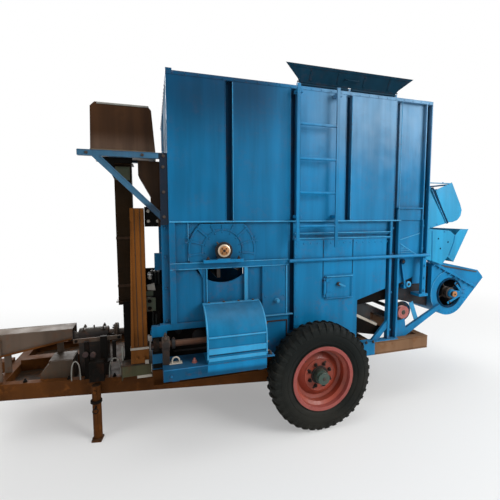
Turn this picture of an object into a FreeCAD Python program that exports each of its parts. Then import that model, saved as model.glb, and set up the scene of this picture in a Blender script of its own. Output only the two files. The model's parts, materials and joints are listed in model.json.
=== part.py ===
"""Trailed agricultural thresher, +X towards the drawbar, +Y to its left side, +Z up, in millimetres.

The origin lies on the ground under the middle of the machine's overall box. Every X below is
written from the wheel axle and moved by axle_x, so that the box stays centred when a reach changes.
"""
import FreeCAD, Part
import os
import re
import Sketcher

doc = FreeCAD.newDocument("thresher")

# ---------------------------------------------------------------- driving dimensions
SIZES = {
    # overall reach of the machine from its wheel axle
    "front_reach": 2700, "rear_reach": 1670,
    # wheels and axle
    "tyre_radius": 367, "tyre_width": 165, "bead_radius": 203, "flange_radius": 222,
    "rim_width": 140, "rim_wall": 6, "wheel_offset": 110, "hub_radius": 46,
    "hub_flange_radius": 88, "spindle_radius": 20,
    "spindle_reach": 62, "axle_size": 50, "axle_proud": 5, "hub_gap": 6,
    # chassis rails, drawbar and stand legs
    "rail_height": 100, "rail_width": 60, "rail_proud": 15, "rail_wall": 7,
    "rail_front": 1090, "rail_rear": 1025, "member_width": 60, "mid_member_rear": 520,
    "beam_height": 105, "beam_width": 50, "beam_wall": 7, "beam_root": 60, "beam_nose": 2000,
    "root_inset": 8, "nose_half": 365, "nose_width": 60, "bar_depth": 50,
    "tongue_size": 80, "tongue_rear": 1430, "tongue_nose": 2560, "ear_thick": 16,
    "pin_hole_radius": 14, "pin_hole_back": 45,
    "stand_x": 1438, "leg_radius": 27, "leg_pivot_height": 332, "leg_pin_radius": 10,
    "foot_half": 30, "foot_thick": 12,
    # body box
    "body_front": 973, "body_rear": 1000, "body_half": 660, "body_top": 2320,
    "hopper_base": 1420, "wall_depth": 40, "panel": 8, "groove_width": 42, "groove_depth": 30,
    "roof_drop": 20, "ledge_height": 1517,
    "sill_top": 775, "sill_depth": 40, "bar_top": 1158, "bar_height": 38, "upright_width": 25,
    "post_front": 936, "mid_post_front": 180, "mid_post_width": 43, "mid_post_lap": 30,
    "tail_post_front": 647, "tail_post_width": 90, "rear_post_width": 55, "flange_reach": 46,
    "foot_post_width": 90, "mid_post_depth": 35, "tail_gap": 31, "header_base": 1285,
    "rail_pipe_radius": 12, "ladder_offset": 55, "ladder_thick": 10,
    # feed opening and its flap
    "feed_front": 126, "feed_rear": 670, "feed_far": 250, "flap_length": 120,
    "flap_flare": 100, "flap_lean": 27, "sheet": 5, "flap_pin_radius": 5, "flap_pin_lift": 14,
    "flap_notch_depth": 18,
    # drum
    "drum_x": 638, "drum_height": 1235, "drum_shaft_radius": 30, "drum_core_radius": 130,
    "drum_tip_radius": 198, "drum_inset": 100, "drum_hole_radius": 215, "cover_radius": 222,
    "bearing_radius": 50, "bearing_reach": 38,
    # drive line
    "deck_rear": 403, "deck_front": 1030, "deck_width": 200, "deck_height": 568, "deck_skirt": 68,
    "guard_front": 772, "guard_top": 892, "line_offset": 80, "line_height": 682, "line_radius": 20,
    "line_pulley_radius": 88, "input_y": 250, "input_height": 630, "input_radius": 25,
    "spline_radius": 17.45, "spline_length": 110, "input_pulley_radius": 105, "input_front": 2120,
    "shade_half": 70,
    # front shelf, grain box and spouts
    "shelf_height": 1832, "shelf_reach": 1464, "shelf_depth": 32, "bracket_base": 1400,
    "box_front": 1418, "box_rear": 1036, "box_top": 2145, "box_far": 280, "box_near": 500,
    "shelf_plate": 12,
    "duct_front": 1298, "duct_rear": 1193, "duct_near": 400, "duct_far": 290, "duct_base": 859,
    "leg_post_front": 1204, "leg_post_rear": 1120, "leg_post_near": 520, "leg_post_top": 1505,
    "front_deck_rear": 1090, "front_deck_front": 1284, "front_deck_half": 535,
    "front_deck_lift": 98, "tube_wall": 4,
    # rear end
    "fan_x": 1300, "fan_height": 807, "fan_radius": 190, "fan_inset": 60, "inlet_radius": 113,
    "rotor_radius": 165, "rotor_inset": 25, "rotor_shaft_radius": 20, "sieve_inset": 100,
    "jack_x": 793, "jack_height": 698, "jack_radius": 50, "jack_shaft_radius": 15,
    # running clearances
    "shaft_gap": 0.3, "seat_gap": 0.3, "free_gap": 6,
}

sheet = doc.addObject("Spreadsheet::Sheet", "Size")
for row, (alias, value) in enumerate(SIZES.items(), start=1):
    sheet.set(f"A{row}", alias)
    sheet.set(f"B{row}", str(value))
    sheet.setAlias(f"B{row}", alias)

# ---------------------------------------------------------------- derived places
PLACES = {
    "axle_x": "(rear_reach - front_reach) / 2",
    "rail_base": "tyre_radius + axle_size / 2",
    "frame_top": "rail_base + rail_height",
    "beam_base": "rail_base - beam_height",
    "rail_side": "body_half + rail_proud",
    "rail_in": "rail_side - rail_width",
    "axle_half": "rail_side + axle_proud",
    "wheel_plane": "axle_half + wheel_offset",
    "spindle_end": "wheel_plane + spindle_reach",
    "root_half": "rail_side - root_inset",
    "beam_slope": "(root_half - nose_half) / (beam_nose - beam_root)",
    "wall_in": "body_half - wall_depth",
    "roof_top": "body_top - roof_drop",
    "panel_out": "body_half - 20",
    "panel_in": "panel_out - panel",
    "bar_base": "bar_top - bar_height",
    "member_top": "beam_base + bar_depth",
    "front_deck_top": "rail_base + front_deck_lift",
    "hub_in": "axle_half + hub_gap",
    "ladder_in": "body_half + ladder_offset",
    "drum_half": "body_half - drum_inset",
    "bearing_out": "body_half + bearing_reach",
    "deck_out": "body_half + deck_width",
    "line_y": "body_half + line_offset",
    "fan_half": "body_half - fan_inset",
    "rotor_half": "fan_half - rotor_inset",
    "sieve_half": "body_half - sieve_inset",
}
place = doc.addObject("App::VarSet", "Place")
holder = {alias: "Size." for alias in SIZES}
holder.update({name: "Place." for name in PLACES})


def full(formula):
    """Write each named size in a formula with the object that holds it."""
    return re.sub(r"[a-z]\w*", lambda word: holder.get(word.group(), "") + word.group(), str(formula))


def bind(thing, target, formula):
    """Bind one property of an object to a formula over the named sizes."""
    thing.setExpression(target, full(formula))


for name, formula in PLACES.items():
    place.addProperty("App::PropertyFloat", name)
    bind(place, name, formula)
place.addProperty("App::PropertyFloat", "answer")
doc.recompute()


def number(formula):
    """Read back the present value of a formula."""
    bind(place, "answer", formula)
    place.recompute()
    return place.answer


# ---------------------------------------------------------------- ways of making a shape
def block(name, x, y, z, side=1):
    """Box between two X, two Y and two Z formulas, mirrored across the centre plane for side -1."""
    box = doc.addObject("Part::Box", name)
    low_y, high_y = y if side > 0 else (f"-({y[1]})", f"-({y[0]})")
    bind(box, "Length", f"({x[1]}) - ({x[0]})")
    bind(box, "Width", f"({high_y}) - ({low_y})")
    bind(box, "Height", f"({z[1]}) - ({z[0]})")
    bind(box, ".Placement.Base.x", f"axle_x + {x[0]}")
    bind(box, ".Placement.Base.y", low_y)
    bind(box, ".Placement.Base.z", z[0])
    return box


TURN = {"X": FreeCAD.Rotation(FreeCAD.Vector(0, 1, 0), 90),
        "Y": FreeCAD.Rotation(FreeCAD.Vector(1, 0, 0), -90),
        "Z": FreeCAD.Rotation()}


def rod(name, axis, radius, start, length):
    """Cylinder of a radius from a start point along +X, +Y or +Z."""
    bar = doc.addObject("Part::Cylinder", name)
    bar.Placement = FreeCAD.Placement(FreeCAD.Vector(), TURN[axis])
    bind(bar, "Radius", radius)
    bind(bar, "Height", length)
    bind(bar, ".Placement.Base.x", f"axle_x + {start[0]}")
    bind(bar, ".Placement.Base.y", start[1])
    bind(bar, ".Placement.Base.z", start[2])
    return bar


PLANE = {"side": "XZ_Plane", "end": "YZ_Plane", "flat": "XY_Plane"}


def sketch_on(body, view, points):
    """Closed outline on an origin plane; a point with a third value is reached by an arc.

    The third value is the arc's radius formula. Its sign says where the arc's centre lies:
    + to the left of the way from the last point to this one, - to the right.
    """
    origin_plane = [item for item in body.Origin.OriginFeatures if item.Role == PLANE[view]][0]
    sketch = body.newObject("Sketcher::SketchObject", body.Name + "_outline")
    sketch.AttachmentSupport = [(origin_plane, "")]
    sketch.MapMode = "FlatFace"
    spots = [FreeCAD.Vector(number(point[0]), number(point[1]), 0) for point in points]
    count = len(points)
    for index in range(count):
        start, end = spots[index], spots[(index + 1) % count]
        arc = points[(index + 1) % count][2:]
        if arc:
            radius = number(arc[0])
            chord = end - start
            middle = (start + end) * 0.5
            normal = FreeCAD.Vector(-chord.y, chord.x, 0).normalize()
            reach = max(radius * radius - chord.Length ** 2 / 4, 0) ** 0.5
            centre = middle + normal * (reach if radius > 0 else -reach)
            turn = 1 if radius > 0 else -1
            top = centre - normal * (turn * abs(radius))
            edge = Part.Arc(start, top, end) if radius > 0 else Part.Arc(end, top, start)
        else:
            edge = Part.LineSegment(start, end)
        sketch.addGeometry(edge, False)
    starts = []
    for index in range(count):
        start = spots[index]
        geometry = sketch.Geometry[index]
        at_start = not hasattr(geometry, "StartPoint") or (geometry.StartPoint - start).Length < 1e-6
        starts.append((index, 1, 2) if at_start else (index, 2, 1))
    for index in range(count):
        here, there = starts[index], starts[(index + 1) % count]
        sketch.addConstraint(Sketcher.Constraint("Coincident", here[0], here[2], there[0], there[1]))
    for index, point in enumerate(points):
        at = starts[index]
        for kind, value, formula in (("DistanceX", spots[index].x, point[0]),
                                     ("DistanceY", spots[index].y, point[1])):
            rule = sketch.addConstraint(Sketcher.Constraint(kind, -1, 1, at[0], at[1], value))
            bind(sketch, f"Constraints[{rule}]", formula)
        if point[2:]:
            radius = number(point[2])
            previous = starts[index - 1][0]
            rule = sketch.addConstraint(Sketcher.Constraint("Radius", previous, abs(radius)))
            bind(sketch, f"Constraints[{rule}]", point[2] if radius > 0 else f"-({point[2]})")
    return sketch


def prism(name, view, points, low, high, side=1):
    """Pad of an outline seen from the side, end or top between two formulas along its normal."""
    body = doc.addObject("PartDesign::Body", name)
    sketch = sketch_on(body, view, points)
    if side < 0:
        low, high = f"-({high})", f"-({low})"
    offset = f"-({high})" if view == "side" else low
    bind(sketch, ".AttachmentOffset.Base.z", offset)
    pad = body.newObject("PartDesign::Pad", name + "_pad")
    pad.Profile = sketch
    bind(pad, "Length", f"({high}) - ({low})")
    bind(body, ".Placement.Base.x", "axle_x")
    return body


def mirrored(points):
    """The same outline with its first coordinate reversed, still walked the same way round."""
    count = len(points)
    flipped = []
    for index in reversed(range(count)):
        flipped.append((f"-({points[index][0]})", points[index][1]) + points[(index + 1) % count][2:])
    return flipped


def turned(name, points, centre, side=1):
    """Solid turned about a line along Y through centre; points are (distance outwards, radius)."""
    body = doc.addObject("PartDesign::Body", name)
    placed = points if side > 0 else mirrored(points)
    sketch = sketch_on(body, "end", placed)
    spin = body.newObject("PartDesign::Revolution", name + "_turn")
    spin.Profile = sketch
    spin.ReferenceAxis = (sketch, ["H_Axis"])
    spin.Angle = 360
    bind(body, ".Placement.Base.x", f"axle_x + {centre[0]}")
    bind(body, ".Placement.Base.z", centre[1])
    return body


def fuse(name, *shapes):
    joined = doc.addObject("Part::MultiFuse", name)
    joined.Shapes = list(shapes)
    joined.Refine = True
    return joined


def cut(name, base, tool):
    hollowed = doc.addObject("Part::Cut", name)
    hollowed.Base = base
    hollowed.Tool = tool
    return hollowed


def group(name, *shapes):
    """Like pieces that share a node without touching."""
    held = doc.addObject("Part::Compound", name)
    held.Links = list(shapes)
    return held


nodes = []


def node(piece, label):
    """Keep a finished piece as a node of the model, under its own label."""
    piece.Label = label
    nodes.append(piece)
    return piece


SIDES = (("left", 1), ("right", -1))

# ---------------------------------------------------------------- wheels and axle
axle_parts = [block("axle_bar", ("-axle_size / 2", "axle_size / 2"), ("-axle_half", "axle_half"),
                    ("tyre_radius - axle_size / 2", "rail_base"))]
for side, sign in SIDES:
    start = "axle_half - 5" if sign > 0 else "-spindle_end"
    axle_parts.append(rod(f"spindle_{side}", "Y", "spindle_radius", ("0", start, "tyre_radius"),
                          "spindle_end - axle_half + 5"))
node(fuse("axle", *axle_parts), "axle_beam")

def side_arc(across, up):
    """Radius of an arc that leaves the tyre's widest point straight up and covers this step."""
    return f"(({across}) ^ 2 + ({up}) ^ 2) / (2 * ({across}))"


side_height = "((bead_radius + tyre_radius) / 2 + 4)"
bead_step = side_arc("tyre_width / 2 - rim_width / 2 + rim_wall",
                     f"{side_height} - flange_radius - 4")
shoulder_step = side_arc("12", f"tyre_radius - 14 - {side_height}")
tread_half = "(tyre_width / 2 - 24)"
crown = f"({tread_half} ^ 2 + 3 ^ 2) / (2 * 3)"
TYRE = [("wheel_plane - rim_width / 2 + rim_wall", "bead_radius + 1"),
        ("wheel_plane + rim_width / 2 - rim_wall", "bead_radius + 1"),
        ("wheel_plane + rim_width / 2 - rim_wall", "flange_radius + 4"),
        ("wheel_plane + tyre_width / 2", side_height, bead_step),
        ("wheel_plane + tyre_width / 2 - 12", "tyre_radius - 14", shoulder_step),
        (f"wheel_plane + {tread_half}", "tyre_radius - 3", "16"),
        (f"wheel_plane - {tread_half}", "tyre_radius - 3", crown),
        ("wheel_plane - tyre_width / 2 + 12", "tyre_radius - 14", "16"),
        ("wheel_plane - tyre_width / 2", side_height, shoulder_step),
        ("wheel_plane - rim_width / 2 + rim_wall", "flange_radius + 4", bead_step)]
rim_out = "wheel_plane + rim_width / 2"
rim_in = "wheel_plane - rim_width / 2"
well = "bead_radius - 22"
dish = "wheel_plane - 6"
RIM = [(rim_out, "flange_radius"), (f"{rim_out} - rim_wall", "flange_radius"),
       (f"{rim_out} - rim_wall", "bead_radius"), (f"{rim_out} - 30", "bead_radius - 2"),
       (f"{rim_out} - 45", well), (f"{rim_in} + 45", well), (f"{rim_in} + 30", "bead_radius - 2"),
       (f"{rim_in} + rim_wall", "bead_radius"), (f"{rim_in} + rim_wall", "flange_radius"),
       (rim_in, "flange_radius"), (rim_in, "bead_radius - rim_wall"),
       (f"{rim_in} + 30", "bead_radius - rim_wall - 2"), (f"{rim_in} + 45", f"{well} - rim_wall"),
       (f"{dish} - 22", f"{well} - rim_wall"), (f"{dish} - 30", "hub_flange_radius + 62"),
       (f"{dish}", "hub_flange_radius + 20"), (f"{dish}", "hub_radius + 0.5"),
       (f"{dish} + 8", "hub_radius + 0.5"), (f"{dish} + 8", "hub_flange_radius + 24"),
       (f"{dish} - 20", "hub_flange_radius + 66"), (f"{dish} - 12", f"{well} - rim_wall"),
       (f"{rim_out} - 45", f"{well} - rim_wall"), (f"{rim_out} - 30", "bead_radius - rim_wall - 2"),
       (rim_out, "bead_radius - rim_wall")]
bore = "spindle_radius + shaft_gap"
HUB = [("hub_in", bore), ("hub_in", "hub_radius"), (f"{dish} - 14", "hub_radius"),
       (f"{dish} - 14", "hub_flange_radius"), (dish, "hub_flange_radius"), (dish, "hub_radius"),
       ("spindle_end - 16", "hub_radius"), ("spindle_end - 16", "hub_radius - 10"),
       ("spindle_end + 8", "hub_radius - 12"), ("spindle_end + 14", "hub_radius - 20"),
       ("spindle_end + 14", "0"), ("spindle_end + free_gap", "0"),
       ("spindle_end + free_gap", bore)]
for side, sign in SIDES:
    wheel_centre = ("0", "tyre_radius")
    node(turned(f"tyre_body_{side}", TYRE, wheel_centre, sign), f"tyre_{side}")
    node(turned(f"rim_body_{side}", RIM, wheel_centre, sign), f"wheel_disc_{side}")
    node(turned(f"hub_body_{side}", HUB, wheel_centre, sign), f"wheel_hub_{side}")

# ---------------------------------------------------------------- chassis
def channel(name, out, width, base, height, wall, x, side):
    """Steel channel along X with its web to the middle and its open side outside."""
    shell = block(name + "_bar", x, (f"{out} - {width}", out), (base, f"{base} + {height}"), side)
    hollow = block(name + "_hollow", (f"{x[0]} - 1", f"{x[1]} + 1"),
                   (f"{out} - {width} + {wall}", f"{out} + 1"),
                   (f"{base} + {wall}", f"{base} + {height} - {wall}"), side)
    return cut(name, shell, hollow)


for side, sign in SIDES:
    node(channel(f"rail_{side}", "rail_side", "rail_width", "rail_base", "rail_height",
                 "rail_wall", ("-rail_rear", "rail_front"), sign), f"chassis_rail_{side}")


def beam_out(x):
    """Half width to the outer face of the drawbar beams at a distance ahead of the axle."""
    return f"(root_half - ({x} - beam_root) * beam_slope)"


def beam_in(x):
    return f"({beam_out(x)} - beam_width)"


for side, sign in SIDES:
    edge = "" if sign > 0 else "-"
    outline = [("beam_root", f"{edge}{beam_in('beam_root')}"),
               ("beam_nose", f"{edge}{beam_in('beam_nose')}"),
               ("beam_nose", f"{edge}{beam_out('beam_nose')}"),
               ("beam_root", f"{edge}{beam_out('beam_root')}")]
    hollow = [("beam_root - 1", f"{edge}({beam_in('beam_root')} - 2)"),
              ("beam_nose + 1", f"{edge}({beam_in('beam_nose')} - 2)"),
              ("beam_nose + 1", f"{edge}({beam_out('beam_nose')} - beam_wall)"),
              ("beam_root - 1", f"{edge}({beam_out('beam_root')} - beam_wall)")]
    whole = prism(f"beam_{side}_bar", "flat", outline, "beam_base", "beam_base + beam_height")
    inside = prism(f"beam_{side}_hollow", "flat", hollow, "beam_base + beam_wall",
                   "beam_base + beam_height - beam_wall")
    node(cut(f"beam_{side}", whole, inside), f"drawbar_beam_{side}")


def member(name, rear, front, low, high):
    """Cross member fitted between the inner faces of the two converging beams."""
    outline = [(rear, f"-{beam_in(rear)}"), (front, f"-{beam_in(front)}"),
               (front, beam_in(front)), (rear, beam_in(rear))]
    return prism(name, "flat", outline, low, high)


members = [block("member_nose", ("beam_nose", "beam_nose + nose_width"), ("-nose_half", "nose_half"),
                 ("beam_base", "rail_base")),
           member("member_pedestal", "1385", "1570", "beam_base", "member_top - sheet"),
           member("member_tray", "1640", "1780", "beam_base", "member_top - sheet"),
           member("drawbar_floor", "rail_front + 20", "beam_nose", "member_top - sheet", "member_top"),
           block("pan", ("member_width - mid_member_rear", "rail_front - member_width"),
                 ("-rail_in", "rail_in"), ("frame_top - 12", "frame_top - 6"))]
for name, rear in (("tail", "-rail_rear"), ("mid", "-mid_member_rear"),
                   ("fore", "rail_front - member_width")):
    members.append(block(f"member_{name}", (rear, f"{rear} + member_width"),
                         ("-rail_in", "rail_in"), ("rail_base", "frame_top - 1")))
node(group("members", *members), "cross_members")

tongue_bar = block("tongue_bar", ("tongue_rear", "beam_nose"),
                   ("-tongue_size / 2", "tongue_size / 2"),
                   ("member_top", "member_top + tongue_size"))
tongue_reach = block("tongue_reach", ("beam_nose + nose_width", "tongue_nose"),
                     ("-tongue_size / 2", "tongue_size / 2"),
                     ("member_top", "member_top + tongue_size"))
ears = []
for name, low in (("low", "member_top - ear_thick"), ("top", "member_top + tongue_size")):
    outline = [("tongue_nose - 140", "-tongue_size / 2"),
               ("front_reach - tongue_size / 2", "-tongue_size / 2"),
               ("front_reach", "0", "tongue_size / 2"),
               ("front_reach - tongue_size / 2", "tongue_size / 2", "tongue_size / 2"),
               ("tongue_nose - 140", "tongue_size / 2")]
    ears.append(prism(f"ear_{name}", "flat", outline, low, f"{low} + ear_thick"))
clevis = fuse("clevis_parts", tongue_reach, *ears)
pin_hole = rod("pin_hole", "Z", "pin_hole_radius",
               ("front_reach - pin_hole_back", "0", "member_top - 2 * ear_thick"),
               "tongue_size + 4 * ear_thick")
node(tongue_bar, "drawbar_tongue")
node(cut("clevis", clevis, pin_hole), "hitch_clevis")

deck_z = ("rail_base", "front_deck_top")
deck_x = ("front_deck_rear", "front_deck_front")
deck_y = ("-front_deck_half", "front_deck_half")
front_box = block("front_box", deck_x, deck_y, deck_z)
front_hollow = block("front_hollow", ("front_deck_rear + 8", "front_deck_front - 8"),
                     ("-front_deck_half - 1", "front_deck_half + 1"),
                     ("rail_base - 1", "front_deck_top - 8"))
node(cut("front_shell", front_box, front_hollow), "front_deck")
TOOLS = [("1600", "member_top"), ("1805", "member_top"), ("1790", "member_top + 90"),
         ("1730", "member_top + 160"), ("1600", "member_top + 160")]
node(prism("tools", "side", TOOLS, "185", f"{beam_in('1805')} - 3"), "tool_box")

# ---------------------------------------------------------------- stand legs
pins = []
for side, sign in SIDES:
    # each leg swings about a pin square to its beam, close against the beam's outer face
    yaw = number("atan(beam_slope)") * sign
    pivot_y = f"({beam_out('stand_x')})"
    place_leg = FreeCAD.Placement(FreeCAD.Vector(), FreeCAD.Rotation(FreeCAD.Vector(0, 0, 1), -yaw))
    out = 1 if sign > 0 else -1

    def leg_piece(name, radius, start_y, height, length, axis, x="0"):
        piece = doc.addObject("Part::Cylinder", name)
        bind(piece, "Radius", radius)
        bind(piece, "Height", length)
        spin = FreeCAD.Rotation(FreeCAD.Vector(0, 0, 1), 60)
        piece.Placement = FreeCAD.Placement(FreeCAD.Vector(), TURN[axis].multiply(spin))
        bind(piece, ".Placement.Base.x", x)
        bind(piece, ".Placement.Base.y", start_y)
        bind(piece, ".Placement.Base.z", height)
        return piece

    leg_y = "leg_radius + free_gap" if out > 0 else "-(leg_radius + free_gap)"
    tube = leg_piece(f"leg_tube_{side}", "leg_radius", leg_y, "foot_thick",
                     "leg_pivot_height + leg_radius + 8 - foot_thick", "Z")
    foot = doc.addObject("Part::Box", f"leg_foot_{side}")
    bind(foot, "Length", "2 * foot_half")
    bind(foot, "Width", "2 * leg_radius + foot_half / 2")
    bind(foot, "Height", "foot_thick")
    bind(foot, ".Placement.Base.x", "-foot_half")
    bind(foot, ".Placement.Base.y",
         "free_gap" if out > 0 else "-(free_gap + 2 * leg_radius + foot_half / 2)")
    eye = leg_piece(f"leg_eye_{side}", "leg_pin_radius + shaft_gap",
                    "0" if out > 0 else "-(2 * leg_radius + 2 * free_gap)", "leg_pivot_height",
                    "2 * leg_radius + 2 * free_gap", "Y")
    solid_leg = fuse(f"leg_whole_{side}", tube, foot)
    leg = cut(f"leg_{side}", solid_leg, eye)
    pin = leg_piece(f"leg_pin_{side}", "leg_pin_radius",
                    "0" if out > 0 else "-(2 * leg_radius + 2 * free_gap + 6)", "leg_pivot_height",
                    "2 * leg_radius + 2 * free_gap + 6", "Y")
    for piece, label in ((leg, f"stand_leg_{side}"), (pin, f"stand_pin_{side}")):
        piece_holder = group(f"{label}_place", piece)
        piece_holder.Placement = place_leg
        bind(piece_holder, ".Placement.Base.x", "axle_x + stand_x")
        bind(piece_holder, ".Placement.Base.y", pivot_y if out > 0 else f"-{pivot_y}")
        if piece is pin:
            pins.append(piece_holder)
        else:
            node(piece_holder, label)
node(group("pins", *pins), "stand_pins")

# ---------------------------------------------------------------- upper box
wall_x = ("-body_rear", "body_front")
grooves = ("591", "150", "-272", "-695")
for side, sign in SIDES:
    wall = block(f"wall_{side}", wall_x, ("wall_in", "body_half"), ("hopper_base", "body_top"), sign)
    outside = ("body_half - groove_depth", "body_half + 1")
    cuts = [block(f"groove_{side}_{index}", (f"{middle} - groove_width / 2",
                                             f"{middle} + groove_width / 2"),
                  outside, ("hopper_base - 1", "body_top - 25"), sign)
            for index, middle in enumerate(grooves)]
    cuts.append(block(f"corner_groove_{side}", ("-body_rear + 8", "-body_rear + 50"), outside,
                      ("hopper_base - 1", "body_top - 25"), sign))
    bay_x = ("-body_rear + 60", "-695 - groove_width / 2")
    cuts.append(block(f"bay_{side}", bay_x, ("body_half - 24", "body_half + 1"),
                      ("ledge_height", "body_top - 25"), sign))
    cuts.append(block(f"bay_low_{side}", bay_x, ("body_half - 12", "body_half + 1"),
                      ("hopper_base - 1", "ledge_height - 10"), sign))
    wall = cut(f"wall_cut_{side}", wall, fuse(f"wall_cuts_{side}", *cuts))
    cap = block(f"cap_{side}", ("post_front", "body_front"), ("wall_in", "body_half"),
                ("body_top - 1", "body_top + 12"), sign)
    node(fuse(f"upper_wall_{side}", wall, cap), f"upper_wall_{side}")

node(block("front_plate", ("body_front - wall_depth", "body_front"), ("-wall_in", "wall_in"),
           ("sill_top", "body_top")), "front_wall")
node(block("rear_plate", ("-body_rear", "-body_rear + wall_depth"), ("-wall_in", "wall_in"),
           ("1700", "body_top")), "rear_wall")
roof_plate = block("roof_plate", ("-body_rear + wall_depth", "body_front - wall_depth"),
                   ("-wall_in", "wall_in"), ("roof_top - panel", "roof_top"))
feed_hole = block("feed_hole", ("-feed_rear", "feed_front"), ("-feed_far", "wall_in - 20"),
                  ("roof_top - panel - 1", "roof_top + 1"))
node(cut("roof_cut", roof_plate, feed_hole), "roof_panel")
CHUTE = [("-body_rear + wall_depth", "2060"), ("-body_rear + wall_depth", "2052"),
         ("400", "hopper_base + 30"), ("400", "hopper_base + 38")]
node(prism("feed_chute_sheet", "side", CHUTE, "-wall_in", "wall_in"), "feed_chute")

# feed flap: it leans out from a hinge on the top edge and folds in over the opening
flap_z = "body_top + flap_pin_lift"
flap_y = "body_half - 12"
barrel_radius = "flap_pin_radius + shaft_gap + 4"
posts_x = ("-feed_rear + 6", "-(feed_rear - feed_front) / 2", "feed_front - 6")
hinge_parts = [rod("flap_pin", "X", "flap_pin_radius", ("-feed_rear", flap_y, flap_z),
                   "feed_rear + feed_front")]
for index, middle in enumerate(posts_x):
    hinge_parts.append(block(f"flap_post_{index}", (f"{middle} - 6", f"{middle} + 6"),
                             (f"{flap_y} - 8", f"{flap_y} + 8"),
                             ("body_top", f"{flap_z} + flap_pin_radius + 2")))
node(fuse("flap_hinge_parts", *hinge_parts), "flap_hinge")
FLAP = [("-feed_rear + 20", "4"), ("feed_front - 20", "4"), ("feed_front", "34"),
        ("feed_front + flap_flare", "flap_length"), ("-feed_rear - flap_flare", "flap_length"),
        ("-feed_rear", "34")]
flap_body = doc.addObject("PartDesign::Body", "flap_sheet")
flap_outline = sketch_on(flap_body, "flat", FLAP)
bind(flap_outline, ".AttachmentOffset.Base.z", "-sheet / 2")
flap_pad = flap_body.newObject("PartDesign::Pad", "flap_pad")
flap_pad.Profile = flap_outline
bind(flap_pad, "Length", "sheet")
barrels = []
for index, (low, high) in enumerate(((posts_x[0], posts_x[1]), (posts_x[1], posts_x[2]))):
    barrel = doc.addObject("Part::Cylinder", f"flap_barrel_{index}")
    barrel.Placement = FreeCAD.Placement(FreeCAD.Vector(), TURN["X"])
    bind(barrel, "Radius", barrel_radius)
    bind(barrel, "Height", f"({high}) - ({low}) - 12 - 2 * free_gap")
    bind(barrel, ".Placement.Base.x", f"({low}) + 6 + free_gap")
    barrels.append(barrel)
flap_joined = fuse("flap_joined", flap_body, *barrels)
flap_bore = doc.addObject("Part::Cylinder", "flap_bore")
flap_bore.Placement = FreeCAD.Placement(FreeCAD.Vector(), TURN["X"])
bind(flap_bore, "Radius", "flap_pin_radius + shaft_gap")
bind(flap_bore, "Height", "feed_rear + feed_front + 2")
bind(flap_bore, ".Placement.Base.x", "-feed_rear - 1")
flap_notch = doc.addObject("Part::Box", "flap_notch")
bind(flap_notch, "Length", "12 + 2 * free_gap")
bind(flap_notch, "Width", "2 * flap_notch_depth")
bind(flap_notch, "Height", "4 * flap_notch_depth")
bind(flap_notch, ".Placement.Base.x", f"{posts_x[1]} - 6 - free_gap")
bind(flap_notch, ".Placement.Base.y", "-flap_notch_depth")
bind(flap_notch, ".Placement.Base.z", "-2 * flap_notch_depth")
flap_cut = cut("flap_cut", flap_joined, fuse("flap_gaps", flap_bore, flap_notch))
flap = group("flap_place", flap_cut)
flap.Placement = FreeCAD.Placement(FreeCAD.Vector(),
                                   FreeCAD.Rotation(FreeCAD.Vector(1, 0, 0), 90 - 27))
bind(flap, ".Placement.Rotation.Angle", "90 - flap_lean")
bind(flap, ".Placement.Base.x", "axle_x")
bind(flap, ".Placement.Base.y", flap_y)
bind(flap, ".Placement.Base.z", flap_z)
node(flap, "feed_flap")

# ---------------------------------------------------------------- lower body
mid_x = ("mid_post_front - mid_post_width - mid_post_lap", "mid_post_front")
tail_x = ("-tail_post_front - tail_post_width", "-tail_post_front")
rear_x = ("-body_rear", "-body_rear + rear_post_width")
foot_top = "frame_top + panel"


def open_post(name, x, lips, z, side):
    """Upright channel with its open side outside, between a rear lip and a front lip."""
    shell = block(name + "_bar", x, ("wall_in", "body_half"), z, side)
    hollow = block(name + "_hollow", (f"{x[0]} + {lips[0]}", f"{x[1]} - {lips[1]}"),
                   ("wall_in + panel", "body_half + 1"), (f"{z[0]} - 1", f"{z[1]} + 1"), side)
    return cut(name, shell, hollow)


posts = []
for side, sign in SIDES:
    deep = ("wall_in", "body_half")
    back = ("wall_in - mid_post_depth", "wall_in")
    low = ("wall_in", "body_half - 5")
    front_post = block(f"front_post_{side}", ("post_front", "body_front"), deep,
                       ("sill_top - 1", "hopper_base"), sign)
    sill = block(f"sill_{side}", ("mid_post_front", "rail_front - 50"), low,
                 ("sill_top - sill_depth", "sill_top"), sign)
    upright = block(f"sill_upright_{side}", ("rail_front - foot_post_width", "rail_front"), low,
                    ("frame_top", "sill_top - 7"), sign)
    flange = block(f"front_flange_{side}", ("body_front", "body_front + flange_reach"),
                   ("wall_in - 14", "wall_in + 4"), ("sill_top - 1", "hopper_base"), sign)
    posts.append(fuse(f"front_frame_{side}", front_post, sill, upright, flange))
    posts.append(block(f"mid_post_{side}", mid_x, back, ("frame_top", "hopper_base"), sign))
    posts.append(open_post(f"tail_post_{side}", tail_x, ("16", "20"), (foot_top, "hopper_base"), sign))
    posts.append(open_post(f"rear_post_{side}", rear_x, ("panel", "panel"),
                           ("bar_top", "hopper_base"), sign))
    posts.append(block(f"gap_plate_{side}", ("-tail_post_front - 13", "16 + tail_gap - tail_post_front"),
                       ("wall_in - panel", "wall_in"), ("905", "header_base"), sign))
node(group("posts", *posts), "body_posts")

for side, sign in SIDES:
    skin = block(f"drum_skin_{side}", ("mid_post_front", "post_front"), ("panel_in", "panel_out"),
                 ("sill_top", "hopper_base"), sign)
    hole_start = "panel_in - 1" if sign > 0 else "-(panel_out + 1)"
    hole = rod(f"drum_hole_{side}", "Y", "drum_hole_radius", ("drum_x", hole_start, "drum_height"),
               "panel + 2")
    node(cut(f"drum_panel_{side}", skin, hole), f"drum_panel_{side}")

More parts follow.
